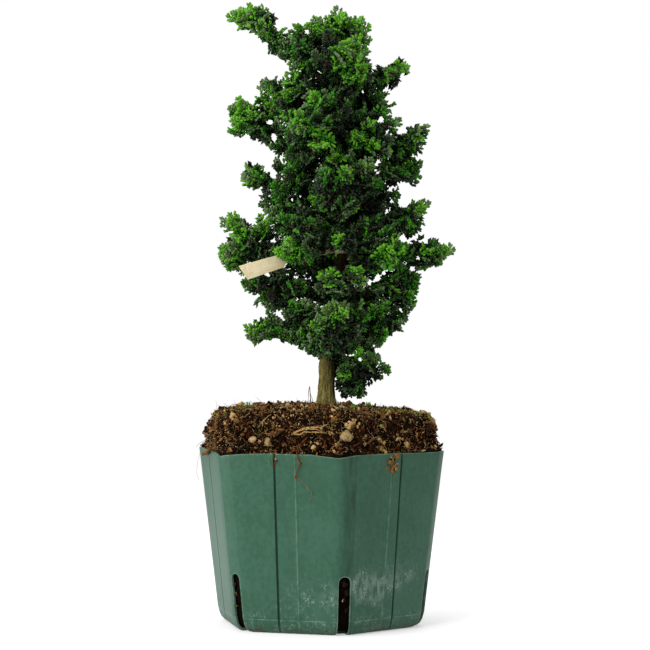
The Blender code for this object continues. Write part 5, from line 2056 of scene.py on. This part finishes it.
# %% [markdown]
# Every fan now gets its leaves. One is left out where it would stray too far from its mass, lie in the
# trunk, hang before the tag or fill air that the photograph shows clear. The leaves of a mass are one piece
# that stands for its CAD node.

# %% Turn the fans into leaves
EDGE_OVERHANG = 0.0075
TIP_FROM = 0.7
FAN_CUT = 0.5
TIP_GAIN = 0.72
# Painted shade on the leaves at the base of each shoot.
BASE_SHADE = 0.12
SHADE_NOISE = 0.13
GREEN_LEVELS = (0.0, 0.18, 0.38, 0.58, 0.80, 1.06)
BLOOM_LEVELS = (0.10, 0.42, 0.76)
BLOOM_CHANCE = {"new": 0.14, "grown": 0.36, "old": 0.62, "hidden": 0.30, "dead": 0.0}
BLOOM_COVER = 0.78
BLOOM_STRAY = 0.14
LOW_BLOOM = 0.32
LOW_RIGHT = 0.035
DEAD_CHANCE = 0.004
DEAD_SHARE = 0.28
BARK_ROOM = 0.0008
TAG_FRONT = -0.020
TAIL_FRONT = -0.004


def leaf_shades(ages_and_light, tips, kinds, bloomed, rng):
    """The colour of each leaf from its spray's age with painted light and shade, bloom, distance from the tip
    and chance.
    """
    level = ages_and_light + TIP_GAIN * (tips - 0.5) - BASE_SHADE * (tips < 0.3)
    level = level + rng.normal(0, SHADE_NOISE, len(ages_and_light))
    shades = np.searchsorted(GREEN_LEVELS, level)
    chance = rng.random(len(ages_and_light))
    covered = np.where(bloomed, BLOOM_COVER, BLOOM_STRAY)
    shades = np.where(chance < covered, SLATE + np.searchsorted(BLOOM_LEVELS, level), shades)
    shades = np.where((kinds != "new") & (rng.random(len(ages_and_light)) < DEAD_CHANCE), DEAD, shades)
    return np.where(kinds == "dead", np.where(chance < DEAD_SHARE, DEAD, HIDDEN), shades)


def kept_leaves(spots, free, space):
    """Which leaves may stay: near their mass, off the trunk and the tag, and out of the clear air."""
    kept = space.holds(spots, EDGE_OVERHANG) | free
    thick = np.interp(spots[:, 2], trunk_heights, trunk_radii, right=0)
    kept &= off_trunk(spots) > thick + BARK_ROOM
    kept &= ~in_spots(spots, SKY_SPOTS)
    for clear, front in ((CLEAR_SPOTS, 0.0), (TAG_SPOTS, TAG_FRONT), (TAIL_SPOTS, TAIL_FRONT)):
        kept &= ~(in_spots(spots, clear) & (spots[:, 1] < front))
    return kept


def leaves_of(mass):
    """All the leaves of one mass as points, triangles and shades."""
    rng = np.random.default_rng(FOLIAGE_SEED + mass)
    chosen = rng.integers(FAN_PLANS, size=len(fans[mass]))
    parts = []
    for k, (places, tips) in enumerate(fan_plans):
        some = [fan for fan, plan in zip(fans[mass], chosen) if plan == k]
        if not some:
            continue
        whole = np.concatenate([places, np.tile([[[0, 0, 0, 1.0]]], (len(places), 1, 1))], axis=1)
        frames = np.array([fan[0] for fan in some])
        turned = np.einsum("nij,mjk->nmik", frames, whole)[:, :, :3].reshape(-1, 3, 4)
        ages_and_light = np.repeat([fan[1] for fan in some], len(tips))
        kinds = np.repeat([fan[2] for fan in some], len(tips))
        free = np.repeat([fan[3] for fan in some], len(tips))
        ends = np.tile(tips, len(some))
        low = (frames[:, 2, 3] < LOW_HEIGHT) & (frames[:, 0, 3] < LOW_RIGHT)
        low &= np.array([fan[2] != "new" for fan in some])
        bloomed = rng.random(len(some)) < np.array([BLOOM_CHANCE[fan[2]] for fan in some]) + LOW_BLOOM * low
        shades = leaf_shades(ages_and_light, ends, kinds, np.repeat(bloomed, len(tips)), rng)
        kept = kept_leaves(turned[:, :, 3], free, spaces[mass])
        cut = in_spots(turned[:, :, 3], SKY_SPOTS).reshape(len(some), -1).mean(1) > FAN_CUT
        kept &= ~np.repeat(cut, len(tips)) | free
        fine = (ends > TIP_FROM) & ((kinds == "new") | (kinds == "grown"))
        for shape, wanted in ((tip_leaf, kept & fine), (plain_leaf, kept & ~fine)):
            if wanted.any():
                parts.append((*copies(shape, turned[wanted]), np.repeat(shades[wanted], len(shape[1]))))
    return joined(parts)


leaf_total = 0
for mass, space in enumerate(spaces):
    points, triangles, shades = leaves_of(mass)
    leaf_total += len(triangles)
    mesh = mesh_of_arrays("leaves_" + space.name, points, triangles, leaf_materials, shades)
    piece(mesh, "foliage", space.name)
print("leaf triangles", leaf_total)

# %% [markdown]
# ## Twigs and stems
#
# Each mass hangs on a stem from its bough's tip, or from the trunk. From its middle a twig runs to every
# knuckle. They show only as dark lines between the sprays, so three sides are enough for a twig.

# %% Grow the twigs
TWIG_RADIUS = 0.0006
STEM_RADII = (0.0013, 0.0009)
STEM_SIDES = 6


def arched(start, end, sag, steps=5):
    """A line of points that sags a little between two ends."""
    bend = (start + end) / 2 - UP * sag * (end - start).length
    return [start * (1 - t) ** 2 + bend * 2 * t * (1 - t) + end * t * t for t in np.linspace(0, 1, steps)]


twig_material = material_of("twig", colour(88, 62, 38), 0.8)
parts = []
for start, end in twig_lines:
    line = arched(start, end, 0.08)
    if not in_spots(np.array(line[2:]), SKY_SPOTS).any():
        radii = np.linspace(TWIG_RADIUS * 1.5, TWIG_RADIUS * 0.6, len(line))
        parts.append((*thread(line, radii), 0))
for limb, _ in limb_lines:
    line = arched(limb[-2], limb[-1], 0.05)
    parts.append((*thread(line, np.linspace(*STEM_RADII, len(line)), STEM_SIDES), 0))
points, triangles, shades = joined(parts)
piece(mesh_of_arrays("twigs", points, triangles, [twig_material], shades), "bark")
print("twig triangles", len(triangles))

# %% [markdown]
# ## The name tag
#
# A strip of aged cream plastic that sags a little and ends in a slanted cut. Its narrow tail passes the
# trunk and loops round behind it. It stays bare. The CAD strip has the true line, so a copy of it is
# bevelled, bent and trimmed.

# %% Finish the tag
TAG_BEND_START = -0.012
TAG_BEND = 0.022
TAG_SAG = 0.0026
TAG_END = 0.012
TAG_END_HEIGHT = 0.2475
TAG_SLANT = 0.55


def tag_mesh():
    """A copy of the strip with bevelled edges; its plate sags a little and its end was cut at a slant."""
    bm = solid_copy("name_tag")
    bmesh.ops.dissolve_limit(bm, angle_limit=math.radians(1), verts=bm.verts, edges=bm.edges)
    sharp = [e for e in bm.edges if e.is_manifold and e.calc_face_angle(0) > math.radians(60)]
    bmesh.ops.bevel(bm, geom=sharp, offset=0.00018, segments=2, profile=0.5, affect="EDGES", material=-1)
    for vert in bm.verts:
        out = ramp(TAG_BEND_START - vert.co.x, 0, TAG_BEND)
        vert.co.z -= TAG_SAG * out * out * (3 - 2 * out)
    end = min(vert.co.x for vert in bm.verts)
    for vert in bm.verts:
        if vert.co.x < end + TAG_END:
            low = TAG_END_HEIGHT - vert.co.z
            vert.co.x += max(0, low) * TAG_SLANT * (1 - (vert.co.x - end) / TAG_END)
    return bm


def tag_material():
    made, tree, surface, point = opened("tag_plastic", colour(238, 226, 192), 0.5)
    body = mottle(tree, point, 120, 1500, colour(238, 214, 160), colour(255, 244, 206))["Color"]
    dirt = patches(tree, point, 160, 900, 0.55)
    tree.links.new(mixed(tree, dirt, body, colour(150, 126, 88)), surface["Base Color"])
    return made


tag = piece(mesh_from(tag_mesh(), "tag_strip", tag_material()), "tag", "name_tag")
tag.data.shade_smooth()
tag.data.set_sharp_from_angle(angle=math.radians(50))
print("tag faces", len(tag.data.polygons))

# %% [markdown]
# ## The floor
#
# A plain pale disc carries the soft shadow under the pot. Towards its rim it turns clear, so it melts into
# the white surround from every side.

# %% Lay the floor
FLOOR_RADIUS = 2.4
FLOOR_CLEAR = 0.4


def floor_material():
    made, tree, _, point = opened("floor_white", (0.93, 0.93, 0.93, 1), 0.9)
    share = stepped(tree, length_of(tree, point), 0.45, 1.5, FLOOR_CLEAR, 1)
    clear = add(tree, "BsdfTransparent").outputs[0]
    body = tree.nodes["Principled BSDF"].outputs[0]
    both = add(tree, "MixShader", i0=share, i1=body, i2=clear).outputs[0]
    tree.links.new(both, tree.nodes["Material Output"].inputs["Surface"])
    return made


bm = bmesh.new()
bmesh.ops.create_circle(bm, segments=96, radius=FLOOR_RADIUS, cap_ends=True)
floor = bpy.data.objects.new("floor", mesh_from(bm, "floor", floor_material()))
bpy.context.scene.collection.objects.link(floor)
print("floor", FLOOR_RADIUS)
